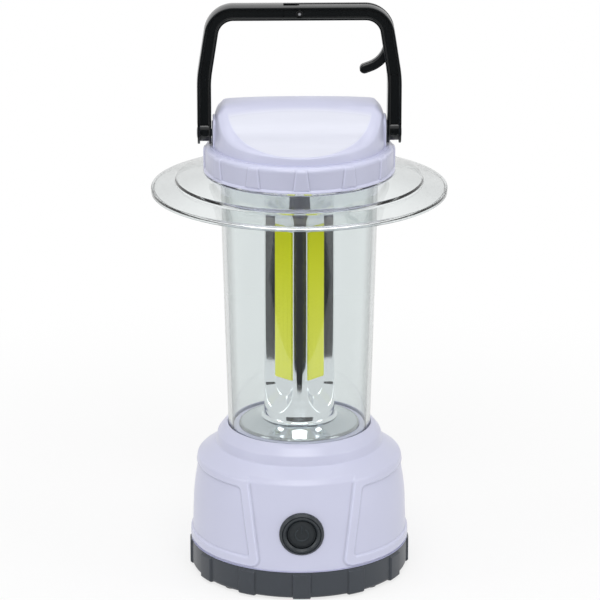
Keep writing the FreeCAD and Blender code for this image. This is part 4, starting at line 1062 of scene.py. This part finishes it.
class BuildReflectors(Piece, bpy.types.Operator):
    """Bright column with its four niches, and the dish that it stands in."""

    bl_idname = "lantern.build_reflectors"
    bl_label = "Reflectors"

    def column(self, size):
        """The lesser of a cylinder and, on each diagonal, a flared niche with round ends; its foot flares."""
        radius, foot, top = COLUMN_HIGH[0], COLUMN_LOW[2], COLUMN_HIGH[2]
        low, high = foot + size.niche_rise, top - size.niche_drop
        height = np.concatenate([
            np.linspace(foot, low + ROUND_END, 90), np.linspace(low + PLAIN_RUN, high - PLAIN_RUN, 20),
            np.linspace(high - ROUND_END, top, 100)])[:, None]
        start, end = NICHE_SIDE
        across = np.concatenate([np.linspace(0, start, 7)[:-1], np.linspace(start, end, 40)[:-1],
                                 np.linspace(end, radius * math.sin(math.pi / 4), 9)])
        across = np.concatenate([-across[:0:-1], across])[:-1]
        beyond = np.maximum(np.maximum(low - height, height - high), 0)
        outside = np.maximum(np.hypot(across, beyond) - size.niche_half_width, 0)
        niche = radius - size.niche_depth + outside * NICHE_SLOPE
        round_wall = np.sqrt(radius ** 2 - across ** 2)
        out = soft_min(niche, np.broadcast_to(round_wall, niche.shape), NICHE_EDGE)
        lift = height - foot
        flare = FOOT_DRAFT * np.clip(FOOT_HIGH - lift, 0, FOOT_HIGH - FOOT_LOW)
        flare = flare + FOOT_FLARE * np.clip(1 - lift / FOOT_LOW, 0, 1) ** 2
        quarters = []
        for turn in np.radians([-45, 45, 135, 225]):
            front = np.array([math.sin(turn), -math.cos(turn)])
            aside = np.array([math.cos(turn), math.sin(turn)])
            flat = out[..., None] * front + np.broadcast_to(across[:, None] * aside, out.shape + (2,))
            flat = flat * (1 + flare / radius)[..., None]
            quarters.append(np.concatenate([flat, np.broadcast_to(height, out.shape)[..., None]], -1))
        grid = np.concatenate(quarters, 1)
        below, over = (np.broadcast_to(np.array([0, 0, level]), grid[:1].shape) for level in (foot, top))
        return np.concatenate([below, grid, over])

    def build(self, size, looks):
        """The column's grid, and a turned dish with a shallow bowl round the column's foot."""
        column = surface("reflector_column_skin", [self.column(size)], sharp=40)
        install(column, looks["bright_reflector"], "lantern", "bright_reflector", "reflector_column")
        edge = DISH_HIGH[0]
        base, crest = DISH_LOW[2], DISH_HIGH[2]
        section = rounded([
            (0, crest - BOWL_DROP), (COLUMN_HIGH[0] + BOWL_WIDTH, crest - BOWL_RIM, 2 * MM),
            (edge - DISH_FLAT, base + DISH_RISE, 30 * MM), (edge - DISH_LIP, base + DISH_LIP_RISE, 0.5 * MM),
            (edge, base, 0.2 * MM), (0, base)], steps=10)
        dish = surface("floor_reflector_dish", [lathe(section, count=160)])
        install(dish, looks["dish_reflector"], "lantern", "bright_reflector", "floor_reflector")


STRIP_SUNK = 1.0 * MM
STRIP_THICK = 0.5 * MM
STRIP_ROUND = 0.5 * MM


class BuildStrips(Piece, bpy.types.Operator):
    """Four light strips in the niches."""

    bl_idname = "lantern.build_strips"
    bl_label = "Light strips"

    def build(self, size, looks):
        """Thin slabs with rounded edges, turned to the diagonals."""
        half = size.strip_width / 2
        for number, turn in enumerate(np.radians([45, 135, 225, 315]), start=1):
            node = "led_phosphor_%d" % number
            low, high = span(node)
            out = np.array([-math.sin(turn), math.cos(turn)])
            aside = np.array([math.cos(turn), math.sin(turn)])
            reach = np.abs([low[:2], high[:2]]).max()
            face = reach * math.sqrt(2) - half - STRIP_SUNK
            corners = ((-half, low), (half, low), (half, high), (-half, high))
            outline = rounded([(x, end[2], STRIP_ROUND) for x, end in corners], steps=4, closed=True)
            slab = plate(outline, face - STRIP_THICK, face, edge=0.15 * MM)
            flat = slab[..., :1] * out + slab[..., 1:2] * aside
            grid = np.concatenate([flat, slab[..., 2:]], -1)
            install(surface(node + "_strip", [grid]), looks["led_phosphor"], "lantern", "led_phosphor", node)


RING_MOUTH = 10.5 * MM
RING_SKIRT = 2.4 * MM
RING_FLOOR = 2.6 * MM
RING_ROOF = 5 * MM
RING_LEDGE = 3 * MM
FLANGE_SIDE = 0.6 * MM
FLANGE_RISE = 1.5 * MM
LUG_START = (0.9 * MM, 2.0 * MM)
LUG_WALL = (-1.6 * MM, -0.2 * MM)
WALL_INSIDE = 5 * MM
# Painted highlights on the ring's rounded top and on its flange at the foot
CREST_HIGHLIGHT = (-2.6 * MM, -0.6 * MM)
CREST_HIGHLIGHT_WIDTH = 2.6 * MM
SILL_HIGHLIGHT = (1.3 * MM, 1.8 * MM)
SILL_HIGHLIGHT_WIDTH = 1.0 * MM


class BuildCapRing(Piece, bpy.types.Operator):
    """Cap ring with its wedge lugs."""

    bl_idname = "lantern.build_cap_ring"
    bl_label = "Cap ring"

    def build(self, size, looks):
        """A turned ring with a flange at its foot, whose radius gains a wedge lug twelve times round."""
        foot, top = GLOBE_HIGH[2], RING_HIGH[2]
        radius = RING_HIGH[0] - size.ring_lug_proud
        flange = radius + size.ring_lug_proud
        mouth = radius - RING_MOUTH
        skirt = mouth - RING_SKIRT
        ledge = radius - size.cap_inset - RING_LEDGE
        low, floor = RING_LOW[2], foot + RING_FLOOR
        under = [(0, floor), (skirt, floor), (skirt, low), (mouth, low)]
        band = rounded([
            (mouth, foot + HAIR), (flange, foot + HAIR), (flange, foot + FLANGE_SIDE, 0.2 * MM),
            (radius, foot + FLANGE_RISE, 0.3 * MM), (radius, top, 2.8 * MM), (ledge, top)], steps=10)
        over = [(ledge, foot + RING_ROOF), (0, foot + RING_ROOF)]
        profile = np.concatenate([under, subdivided(band, step=0.45 * MM), over])
        radii, heights = profile[:, :1], profile[:, 1:]
        share = np.clip((heights - foot) / (top - foot), 0, 1)
        width = size.ring_lug_bottom + (size.ring_lug_top - size.ring_lug_bottom) * share
        angles, lugs, lines = lug_columns(width / 2, radius)
        wall = smoothstep(*LUG_WALL, radii - radius) * (radii > mouth + WALL_INSIDE)
        lugs = lugs * smoothstep(*LUG_START, heights - foot)
        grown = np.maximum(radii, np.minimum(radii, radius) + lugs * wall * size.ring_lug_proud)
        # Painted highlight on the rounded top and the flange, with painted highlight and shade beside the
        # lugs
        crest = smoothstep(*CREST_HIGHLIGHT, heights - top) * (radii > radius - CREST_HIGHLIGHT_WIDTH)
        lit_sill = (1 - smoothstep(*SILL_HIGHLIGHT, heights - foot)) * (radii > radius - SILL_HIGHLIGHT_WIDTH)
        edge = crest + lit_sill + lines * wall * (1 - crest)
        piece = surface("cap_ring_band", [turned(grown, heights, angles)], edge=edge)
        install(piece, looks["ring_plastic"], "lantern", "lavender_plastic", "cap_ring")


# Corners of the scooped ridge, along the depth, and of the crowned outline, across the width
RIDGE = in_mm([(-20.5, 10.4), (0, 35.4, 16), (20.5, 10.4, 30), (48.7, 3.6)])
CROWN = in_mm([(-46.5, 23.4), (0, 28.8, 323), (46.5, 23.4, 9), (46.52, 0)])
RIDGE_CREASE = 2.2 * MM
CAP_WALL = 22.0 * MM
WALL_ROWS = np.array([[0.66], [0.33], [0.0]])
PAD_HALF = 7 * MM
PAD_HIGH = 16.2 * MM
PAD_ROUND = 5 * MM
PAD_DEPTH = 9 * MM


class BuildCapShell(Piece, bpy.types.Operator):
    """Cap shell: a ridge with two scooped faces in a round wall, and its pivot pads."""

    bl_idname = "lantern.build_cap_shell"
    bl_label = "Cap shell"

    def height(self, reach, angles):
        """Height over a point of the disc: the lesser of a scooped ridge in Y and a crowned outline in X."""
        ridge, crown = rounded(RIDGE, steps=24), rounded(CROWN, steps=24)
        scoop = np.interp(np.abs(reach * np.cos(angles)), ridge[:, 0], ridge[:, 1])
        outline = np.interp(np.abs(reach * np.sin(angles)), crown[:, 0], crown[:, 1])
        return soft_min(scoop, outline, RIDGE_CREASE)

    def build(self, size, looks):
        """The height over a disc, a rolled bevel that meets the wall, a wall that leans in, and two pads."""
        base = RING_HIGH[2]
        radius = RING_HIGH[0] - size.ring_lug_proud - size.cap_inset
        angles = ring_angles(256)[None]
        lean = np.abs((angles + np.pi / 2) % np.pi - np.pi / 2)
        bevel = BEVEL_LEAST + (size.cap_bevel - BEVEL_LEAST) * smoothstep(*BEVEL_TURN, lean)
        bevel = bevel - BEVEL_EASED * smoothstep(*BEVEL_END, lean)
        reach = np.linspace(0, 1, 80)[:, None] * (radius - bevel)
        top = self.height(reach, angles)
        rim = self.height(np.full_like(bevel, radius), angles)
        roll = np.linspace(0, np.pi / 2, 9)[1:, None]
        bevel_r = radius - bevel * (1 - np.sin(roll))
        last = top[-1:]
        bevel_z = last + (rim - last) * np.sin(roll) - bevel * BEVEL_DROP * (1 - np.cos(roll))
        middle = 0 * angles
        radii = np.concatenate([reach, bevel_r, np.full_like(WALL_ROWS, radius) + middle, middle])
        heights = np.concatenate([top, bevel_z, bevel_z[-1:] * WALL_ROWS, middle])
        shell = turned(radii * (1 - size.cap_lean / radius * heights / CAP_WALL), base + heights, angles)
        outline = rounded([
            (-PAD_HALF, base), (PAD_HALF, base), (PAD_HALF, base + PAD_HIGH, PAD_ROUND),
            (-PAD_HALF, base + PAD_HIGH, PAD_ROUND)], closed=True)
        pads = [plate(outline, way * (PAD_FACE - PAD_DEPTH), way * PAD_FACE, edge=0.5 * MM)
                for way in (-1, 1)]
        piece = surface("cap_shell_skin", [shell] + pads)
        install(piece, looks["cap_plastic"], "lantern", "lavender_plastic", "cap_shell")


BAIL_PLAY = 0.2 * MM
BAIL_EDGE_ROUND = 0.35 * MM
LEG_LEAN = 5.6 * MM
BEND_RISE = 30.9 * MM
BAR_RISE = 66.3 * MM
BEND_ROUND = 60 * MM
BAR_ROUND = 12 * MM
CROWN_RISE = (50.0 * MM, 63.0 * MM)
SLOT_HALF = 2.7 * MM
SLOT_START = -8.5 * MM
SLOT_BOTTOM = 280.0 * MM
WEB_CLEAR = 7.2 * MM
FORK_LAP = 0.5 * MM
WEB_LAP = 2 * MM
HUB_RADIUS = 4.7 * MM
HUB_RAISED = 2.4 * MM
HUB_INSET = 0.8 * MM
HUB_BEVEL = 0.1 * MM
CHEEK_BEVEL = 0.25 * MM


def bail_lines(size):
    """How far from the middle the legs' middle lines lie, at the forks and at the bar."""
    leg = WASHER_FACE + BAIL_PLAY + size.bail_width / 2
    return leg, leg - LEG_LEAN


class BuildBail(Piece, bpy.types.Operator):
    """Carrying bail: a bow of H section with a slot for the hook, forked at its pivots."""

    bl_idname = "lantern.build_bail"
    bl_label = "Bail"

    def sections(self, size, path, low=None):
        """Sections along a path: the back of the bar is crowned more than the back of the legs."""
        share = smoothstep(*CROWN_RISE, path[:, 1] - PIVOT)[:, None, None]
        leg, bar = (self.section(size, rise, low) for rise in (size.leg_crown, size.bail_crown))
        return leg * (1 - share) + bar * share

    def section(self, size, rise, low):
        """The H section as (outward, y) points, its back of some rise, or one side of the slot."""
        half = BAIL_HIGH[1]
        inner, outer = -size.bail_width / 2, size.bail_width / 2 - rise
        floor = half - size.bail_channel
        rim = size.bail_rim
        soft = BAIL_EDGE_ROUND
        stations = np.linspace(half, -half if low is None else low, 13)[1:]
        crown = [(outer + rise * (1 - (y / half) ** 2), y) for y in stations]
        back = [(inner, half, soft), (inner + rim, half, soft), (inner + rim, floor, soft),
                (outer - rim, floor, soft), (outer - rim, half, soft), (outer, half, soft)]
        if low is None:
            front = [(out, -y, soft) for out, y, soft in reversed(back)]
        else:
            front = [(*crown[-1], soft), (inner, low, soft)]
        return rounded(back + crown[:-1] + front, steps=3, closed=True)

    def path(self, size):
        """Middle line of the bow, from the left fork over the bar to the right fork."""
        leg, bar = bail_lines(size)
        fork, bend, top = PIVOT + WEB_CLEAR - WEB_LAP, PIVOT + BEND_RISE, PIVOT + BAR_RISE
        line = rounded([(-leg, fork), (-leg, bend, BEND_ROUND), (-bar, top, BAR_ROUND), (bar, top, BAR_ROUND),
                        (leg, bend, BEND_ROUND), (leg, fork)], steps=16)
        return subdivided(line, step=2 * MM)

    def forks(self, size):
        """Two round-ended cheeks and a barrel between them, at each pivot."""
        half = BAIL_HIGH[1]
        fork = PIVOT + WEB_CLEAR + FORK_LAP
        turn = np.linspace(0, np.pi, 25)
        round_end = np.stack([half * np.cos(turn), PIVOT - half * np.sin(turn)], 1)
        cheek = np.concatenate([[(half, fork)], round_end, [(-half, fork)]])
        spin = ring_angles(48)
        up = np.sin(spin)
        barrel = np.stack([HUB_RADIUS * np.cos(spin), PIVOT + HUB_RADIUS * up + HUB_RAISED * (up > 0)], 1)
        inner = bail_lines(size)[0] - size.bail_width / 2
        outer = inner + size.bail_width - size.leg_crown
        rim = size.bail_rim
        plates = ((cheek, inner, inner + rim, CHEEK_BEVEL), (cheek, outer - rim, outer, CHEEK_BEVEL),
                  (barrel, inner + HUB_INSET, outer - HUB_INSET, HUB_BEVEL))
        return [plate(outline, way * near, way * far, edge)
                for way in (-1, 1) for outline, near, far, edge in plates]

    def build(self, size, looks):
        """The section carried along the bow: whole before and after the slot, and in two sides beside it."""
        path = self.path(size)
        right = path[:, 0] > SLOT_START
        before = path[~right]
        start = np.array([[SLOT_START, before[-1, 1]]])
        slotted = right & (path[:, 1] > SLOT_BOTTOM)
        lower = path[right & ~slotted]
        above = path[slotted][-1]
        share = (above[1] - SLOT_BOTTOM) / (above[1] - lower[0, 1])
        stop = (above + (lower[0] - above) * share)[None]
        runs = np.concatenate([before, start]), np.concatenate([stop, lower])
        whole = [swept(run, self.sections(size, run)) for run in runs]
        middle = np.concatenate([start, path[slotted], stop])
        side = self.sections(size, middle, SLOT_HALF)
        split = [swept(middle, side), swept(middle, side * np.array([1, -1]))]
        piece = surface("bail_bow", whole + split + self.forks(size), sharp=25)
        install(piece, looks["black_plastic"], "bail", "black_plastic", "bail")


PIN_SHANK = 2 * MM
PIN_HEAD = 1.2 * MM
PIN_RIM = 0.4 * MM
PIN_PROUD = 0.1 * MM
PIN_CROWN = 0.5


class BuildPivots(Piece, bpy.types.Operator):
    """Pivot pins with domed heads, and the washers beside the cap."""

    bl_idname = "lantern.build_pivots"
    bl_label = "Pivots"

    def build(self, size, looks):
        """Turned pins and flat rings, laid to both sides."""
        bore = PIN_SHANK + HAIR
        tip = BAIL_HIGH[0] + PIN_PROUD
        for side, way in (("left", -1), ("right", 1)):
            pin = "pivot_pin_" + side
            low, high = span(pin)
            root = min(abs(low[0]), abs(high[0]))
            head = (high[1] - low[1]) / 2
            section = rounded([
                (0, root), (PIN_SHANK, root), (PIN_SHANK, tip - PIN_HEAD), (head, tip - PIN_HEAD),
                (head, tip - PIN_RIM, 0.5 * MM), (head * PIN_CROWN, tip, 4 * MM), (0, tip)])
            piece = surface(pin + "_turned", [along_x(lathe(section, count=48), PIVOT, way)])
            install(piece, looks["pin_steel"], carrier(pin), "fixing_steel", pin)
            washer = "pivot_washer_" + side
            low, high = span(washer)
            near, far = sorted((abs(low[0]), abs(high[0])))
            rim = (high[1] - low[1]) / 2
            disc = rounded([(bore, near), (rim, near), (rim, far, 0.2 * MM), (bore, far), (bore, near)])
            piece = surface(washer + "_disc", [along_x(lathe(disc, count=64), PIVOT, way)])
            install(piece, looks["dark_plastic"], carrier(washer), "dark_plastic", washer)


HOOK_ELBOW = 25.5 * MM
ELBOW_ROUND = 15 * MM
TIP_INSET = 10.6 * MM
TIP_DROP = 30.9 * MM
HOOK_ROUND = 1 * MM
HOOK_PROUD = 1.3 * MM
PROUD_UNTIL = (0.55, 0.75)
TIP_LEAST = 0.02
EYE_RADIUS = 3.6 * MM
EYE_ROUND = 0.5 * MM
RIVET_SHANK = 1.5 * MM
RIVET_HEAD = 1 * MM
RIVET_SUNK = 0.4 * MM
RIVET_DOME = 0.55
RIVET_MOAT = 1.2


class BuildHook(Piece, bpy.types.Operator):
    """Hanging hook in the bail's slot, and the pin that it turns on."""

    bl_idname = "lantern.build_hook"
    bl_label = "Hanging hook"

    def arm(self, size):
        """A rounded bar carried along the bail's line and curled inwards to a round tip.

        Its back stands out of the slot along the first part of its way.
        """
        bar = bail_lines(size)[1]
        lean = LEG_LEAN / (BAR_RISE - BEND_RISE)
        wide, half = size.hook_width / 2, HOOK_HALF
        tip = np.array([bar - TIP_INSET, HOOK_PIVOT - TIP_DROP])
        line = rounded([(0, HOOK_PIVOT), (bar, HOOK_PIVOT, BAR_ROUND),
                        (bar + HOOK_ELBOW * lean, HOOK_PIVOT - HOOK_ELBOW, ELBOW_ROUND), tip], steps=16)
        line = subdivided(line, step=1.5 * MM)
        steps = np.diff(line, axis=0)
        lengths = np.linalg.norm(steps, axis=1)
        turn = np.linspace(0, np.pi / 2, 7)[1:]
        ends = np.sin(turn)[:, None] * wide * (steps[-1] / lengths[-1]) + tip
        shrink = np.concatenate([np.ones(len(line)), np.maximum(np.cos(turn), TIP_LEAST)])
        corners = ((-wide, -half), (wide, -half), (wide, half), (-wide, half))
        section = rounded([(*corner, HOOK_ROUND) for corner in corners], steps=5, closed=True)
        sections = section[None] * np.stack([shrink, np.ones_like(shrink)], 1)[:, None]
        spent = np.concatenate([[0], np.cumsum(lengths)])
        proud = HOOK_PROUD * (1 - smoothstep(*PROUD_UNTIL, spent / spent[-1]))
        proud = np.concatenate([proud, np.zeros(len(ends))])
        sections[..., 0] += np.where(section[:, 0] > 0, proud[:, None], 0)
        return swept(np.concatenate([line, ends]), sections)

    def build(self, size, looks):
        """The arm with a turned eye at its root, and a turned pin with a dome in each sunk head."""
        half = HOOK_HALF
        hub = rounded([(0, -half), (EYE_RADIUS, -half, EYE_ROUND), (EYE_RADIUS, half, EYE_ROUND), (0, half)],
                      steps=4)
        eye = along_y(lathe(hub, count=48), HOOK_PIVOT)
        piece = surface("hanging_hook_bar", [self.arm(size), eye], sharp=40)
        install(piece, looks["black_plastic"], "hook", "black_plastic", "hanging_hook")
        low, high = span("hook_pin")
        head = (high[0] - low[0]) / 2
        dome = head * RIVET_DOME
        far = high[1]
        sunk = far - RIVET_SUNK
        end = [(RIVET_SHANK, far - RIVET_HEAD), (head, far - RIVET_HEAD), (head, sunk, 0.2 * MM),
               (dome * RIVET_MOAT, sunk), (dome, far, 0.3 * MM), (0, far)]
        shank = rounded([(out, -reach, *soft) for out, reach, *soft in reversed(end)] + end, steps=4)
        pin = surface("hook_pin_turned", [along_y(lathe(shank, count=40), HOOK_PIVOT)])
        install(pin, looks["rivet_steel"], carrier("hook_pin"), "fixing_steel", "hook_pin")


class DressInside(Piece, bpy.types.Operator):
    """Finishes for the pieces inside, whose solids stay as they are."""

    bl_idname = "lantern.dress_inside"
    bl_label = "Inner pieces"

    def build(self, size, looks):
        """Each solid of the frame gets the finish that its slot is named for."""
        slots = {part["node"]: part["material_slot"] for part in frame["record"]["subparts"]}
        for node, solid in frame["nodes"].items():
            solid.data.materials.clear()
            solid.data.materials.append(looks[slots[node]])


# Studio


WHITE = (1, 1, 1, 1)
CARD_TINT = (0.002, 0.002, 0.002, 1)
FLOOR_EDGE = [(-0.065, -0.36), (-0.05, -0.33), (0.04, -0.33), (0.055, -0.36)]
FLOOR_HALF = 3
FLOOR_BACK = 4
FLOOR_FRONT = -0.36
FLOOR_FADE = (0.15, 0.5)
FLOOR_SHADE = 0.25
CARD_HALF = 0.4
CARD_FRONT = -3.0
CARD_HEIGHT = -0.01
MIRRORED = (0.2, 0.8)
FILL_LEVEL = 0.40
AIM = (0, 0, 0.15)
# Name, watts, width and height, and place of each lamp
LAMPS = (
    ("key_light", 11.5, (1.2, 0.8), (0.0, -1.1, 1.3)),
    ("top_light", 6.0, (1.4, 0.9), (0.0, 0.0, 1.5)),
    ("left_light", 2.5, (0.4, 1.2), (-1.3, -0.5, 0.5)),
    ("right_light", 2.5, (0.4, 1.2), (1.3, -0.5, 0.5)),
)
LENS = 220.9
SENSOR = 36.0
CAMERA_SHIFT = 0.0012
CAMERA_TURN = math.radians(-1.3)
CAMERA_PITCH = math.radians(17.45)
CAMERA_DISTANCE = 1.914
CAMERA_HEIGHT = 0.754


def directly_seen(tree):
    """1 for rays from the camera, a mirror or clear plastic, and 0 for the light that falls on things."""
    path = tree.nodes.new("ShaderNodeLightPath")
    kinds = ("Is Camera Ray", "Is Glossy Ray", "Is Transmission Ray")
    camera, glossy, clear = (Wire(tree, path.outputs[kind]) for kind in kinds)
    return camera.math("MAXIMUM", camera.math("MAXIMUM", camera, glossy), clear)


class BuildStage(bpy.types.Operator):
    """Floor, soft light, white surroundings and the camera."""

    bl_idname = "lantern.build_stage"
    bl_label = "Studio"

    def execute(self, context):
        """Set the view and the light bounces, and build what stands round the lantern."""
        scene = context.scene
        scene.view_settings.view_transform = "Standard"
        scene.cycles.max_bounces = 24
        scene.cycles.glossy_bounces = 16
        scene.cycles.transmission_bounces = 24
        self.surroundings(scene)
        self.floor(scene)
        self.card(scene)
        for lamp in LAMPS:
            self.lamp(scene, *lamp)
        self.camera(scene)
        return {"FINISHED"}

    def surroundings(self, scene):
        """White where it is seen or mirrored, and a plain grey level as a light."""
        world = bpy.data.worlds.new("studio")
        scene.world = world
        world.use_nodes = True
        tree = world.node_tree
        background = tree.nodes["Background"]
        background.inputs["Color"].default_value = WHITE
        strength = directly_seen(tree) * (1 - FILL_LEVEL) + FILL_LEVEL
        tree.links.new(strength.socket, background.inputs["Strength"])

    def sheet(self, scene, name, corners, height, tint, roughness, whiteness):
        """A flat sheet of the stage: matt, and plain white by the share that whiteness adds to its tree."""
        mesh = bpy.data.meshes.new(name)
        mesh.from_pydata([(x, y, height) for x, y in corners], [], [tuple(range(len(corners)))])
        sheet = bpy.data.objects.new(name, mesh)
        scene.collection.objects.link(sheet)
        material = bpy.data.materials.new(name)
        material.use_nodes = True
        tree = material.node_tree
        shader = tree.nodes["Principled BSDF"]
        shader.inputs["Base Color"].default_value = tint
        shader.inputs["Roughness"].default_value = roughness
        share = whiteness(tree)
        white = share.node("ShaderNodeEmission", None, {"Color": WHITE, "Strength": 1.0})
        matt = Wire(tree, shader.outputs[0])
        mixed = share.node("ShaderNodeMixShader", None, {0: share, 1: matt, 2: white})
        tree.links.new(mixed.socket, tree.nodes["Material Output"].inputs["Surface"])
        mesh.materials.append(material)
        return sheet

    def floor(self, scene):
        """A pale plane that keeps the shadow; where it is seen it is near white, more so further away."""

        def whiteness(tree):
            seen = directly_seen(tree)
            place = seen.node("ShaderNodeTexCoord", None, None, "Object")
            away = place.node("ShaderNodeVectorMath", {"operation": "LENGTH"}, {0: place}, "Value")
            return seen * (away.between(*FLOOR_FADE) * FLOOR_SHADE + (1 - FLOOR_SHADE))

        corners = [(-FLOOR_HALF, FLOOR_FRONT), *FLOOR_EDGE, (FLOOR_HALF, FLOOR_FRONT),
                   (FLOOR_HALF, FLOOR_BACK), (-FLOOR_HALF, FLOOR_BACK)]
        self.sheet(scene, "studio_floor", corners, height=0, tint=rgba(scene.lantern_colours.floor),
                   roughness=0.8, whiteness=whiteness)

    def card(self, scene):
        """A dark card in front of the floor, that only bright and glossy surfaces mirror."""

        def whiteness(tree):
            path = tree.nodes.new("ShaderNodeLightPath")
            return 1.0 - Wire(tree, path.outputs["Glossy Depth"]).between(*MIRRORED)

        corners = [(-CARD_HALF, CARD_FRONT), (CARD_HALF, CARD_FRONT), (CARD_HALF, FLOOR_FRONT),
                   *reversed(FLOOR_EDGE), (-CARD_HALF, FLOOR_FRONT)]
        card = self.sheet(scene, "dark_card", corners, height=CARD_HEIGHT, tint=CARD_TINT,
                          roughness=1.0, whiteness=whiteness)
        card.visible_camera = False
        card.visible_diffuse = False
        card.visible_shadow = False

    def lamp(self, scene, name, energy, size, place):
        """A soft oblong lamp that faces the lantern."""
        light = bpy.data.lights.new(name, "AREA")
        light.shape = "RECTANGLE"
        light.energy = energy
        light.size, light.size_y = size
        lamp = bpy.data.objects.new(name, light)
        lamp.location = place
        lamp.rotation_euler = Vector(np.subtract(AIM, place)).to_track_quat("-Z", "Y").to_euler()
        scene.collection.objects.link(lamp)

    def camera(self, scene):
        """A long lens a little above, turned slightly to the left of the front."""
        data = bpy.data.cameras.new("camera")
        data.sensor_width = SENSOR
        data.lens = LENS
        data.shift_x = CAMERA_SHIFT
        camera = bpy.data.objects.new("camera", data)
        camera.location = (CAMERA_DISTANCE * math.sin(CAMERA_TURN), -CAMERA_DISTANCE * math.cos(CAMERA_TURN),
                           CAMERA_HEIGHT)
        camera.rotation_euler = (math.pi / 2 - CAMERA_PITCH, 0, CAMERA_TURN)
        scene.collection.objects.link(camera)
        scene.camera = camera


class LANTERN_PT_pieces(bpy.types.Panel):
    """The lantern's pieces in the sidebar."""

    bl_idname = "LANTERN_PT_pieces"
    bl_label = "Lantern"
    bl_space_type = "VIEW_3D"
    bl_region_type = "UI"
    bl_category = "Lantern"

    def draw(self, context):
        """List the operators, then the sizes and the colours."""
        column = self.layout.column()
        for operator in OPERATORS:
            column.operator(operator.bl_idname)
        for group in (context.scene.lantern_sizes, context.scene.lantern_colours):
            box = self.layout.box()
            for key in group.__annotations__:
                box.prop(group, key)


OPERATORS = (
    DressInside, BuildHousing, BuildCover, BuildFeet, BuildButton, BuildGlobe, BuildReflectors, BuildStrips,
    BuildCapRing, BuildCapShell, BuildBail, BuildPivots, BuildHook, BuildStage)
CLASSES = (LanternSizes, LanternColours) + OPERATORS + (LANTERN_PT_pieces,)


def register():
    """Register the classes and hang the two groups on the scene."""
    for item in CLASSES:
        bpy.utils.register_class(item)
    bpy.types.Scene.lantern_sizes = PointerProperty(type=LanternSizes)
    bpy.types.Scene.lantern_colours = PointerProperty(type=LanternColours)


def unregister():
    """Undo register."""
    del bpy.types.Scene.lantern_colours
    del bpy.types.Scene.lantern_sizes
    for item in reversed(CLASSES):
        bpy.utils.unregister_class(item)


def main():
    """Build every piece and the studio."""
    register()
    for operator in OPERATORS:
        group, name = operator.bl_idname.split(".")
        getattr(getattr(bpy.ops, group), name)()
    bpy.context.view_layer.update()


if __name__ == "__main__":
    main()
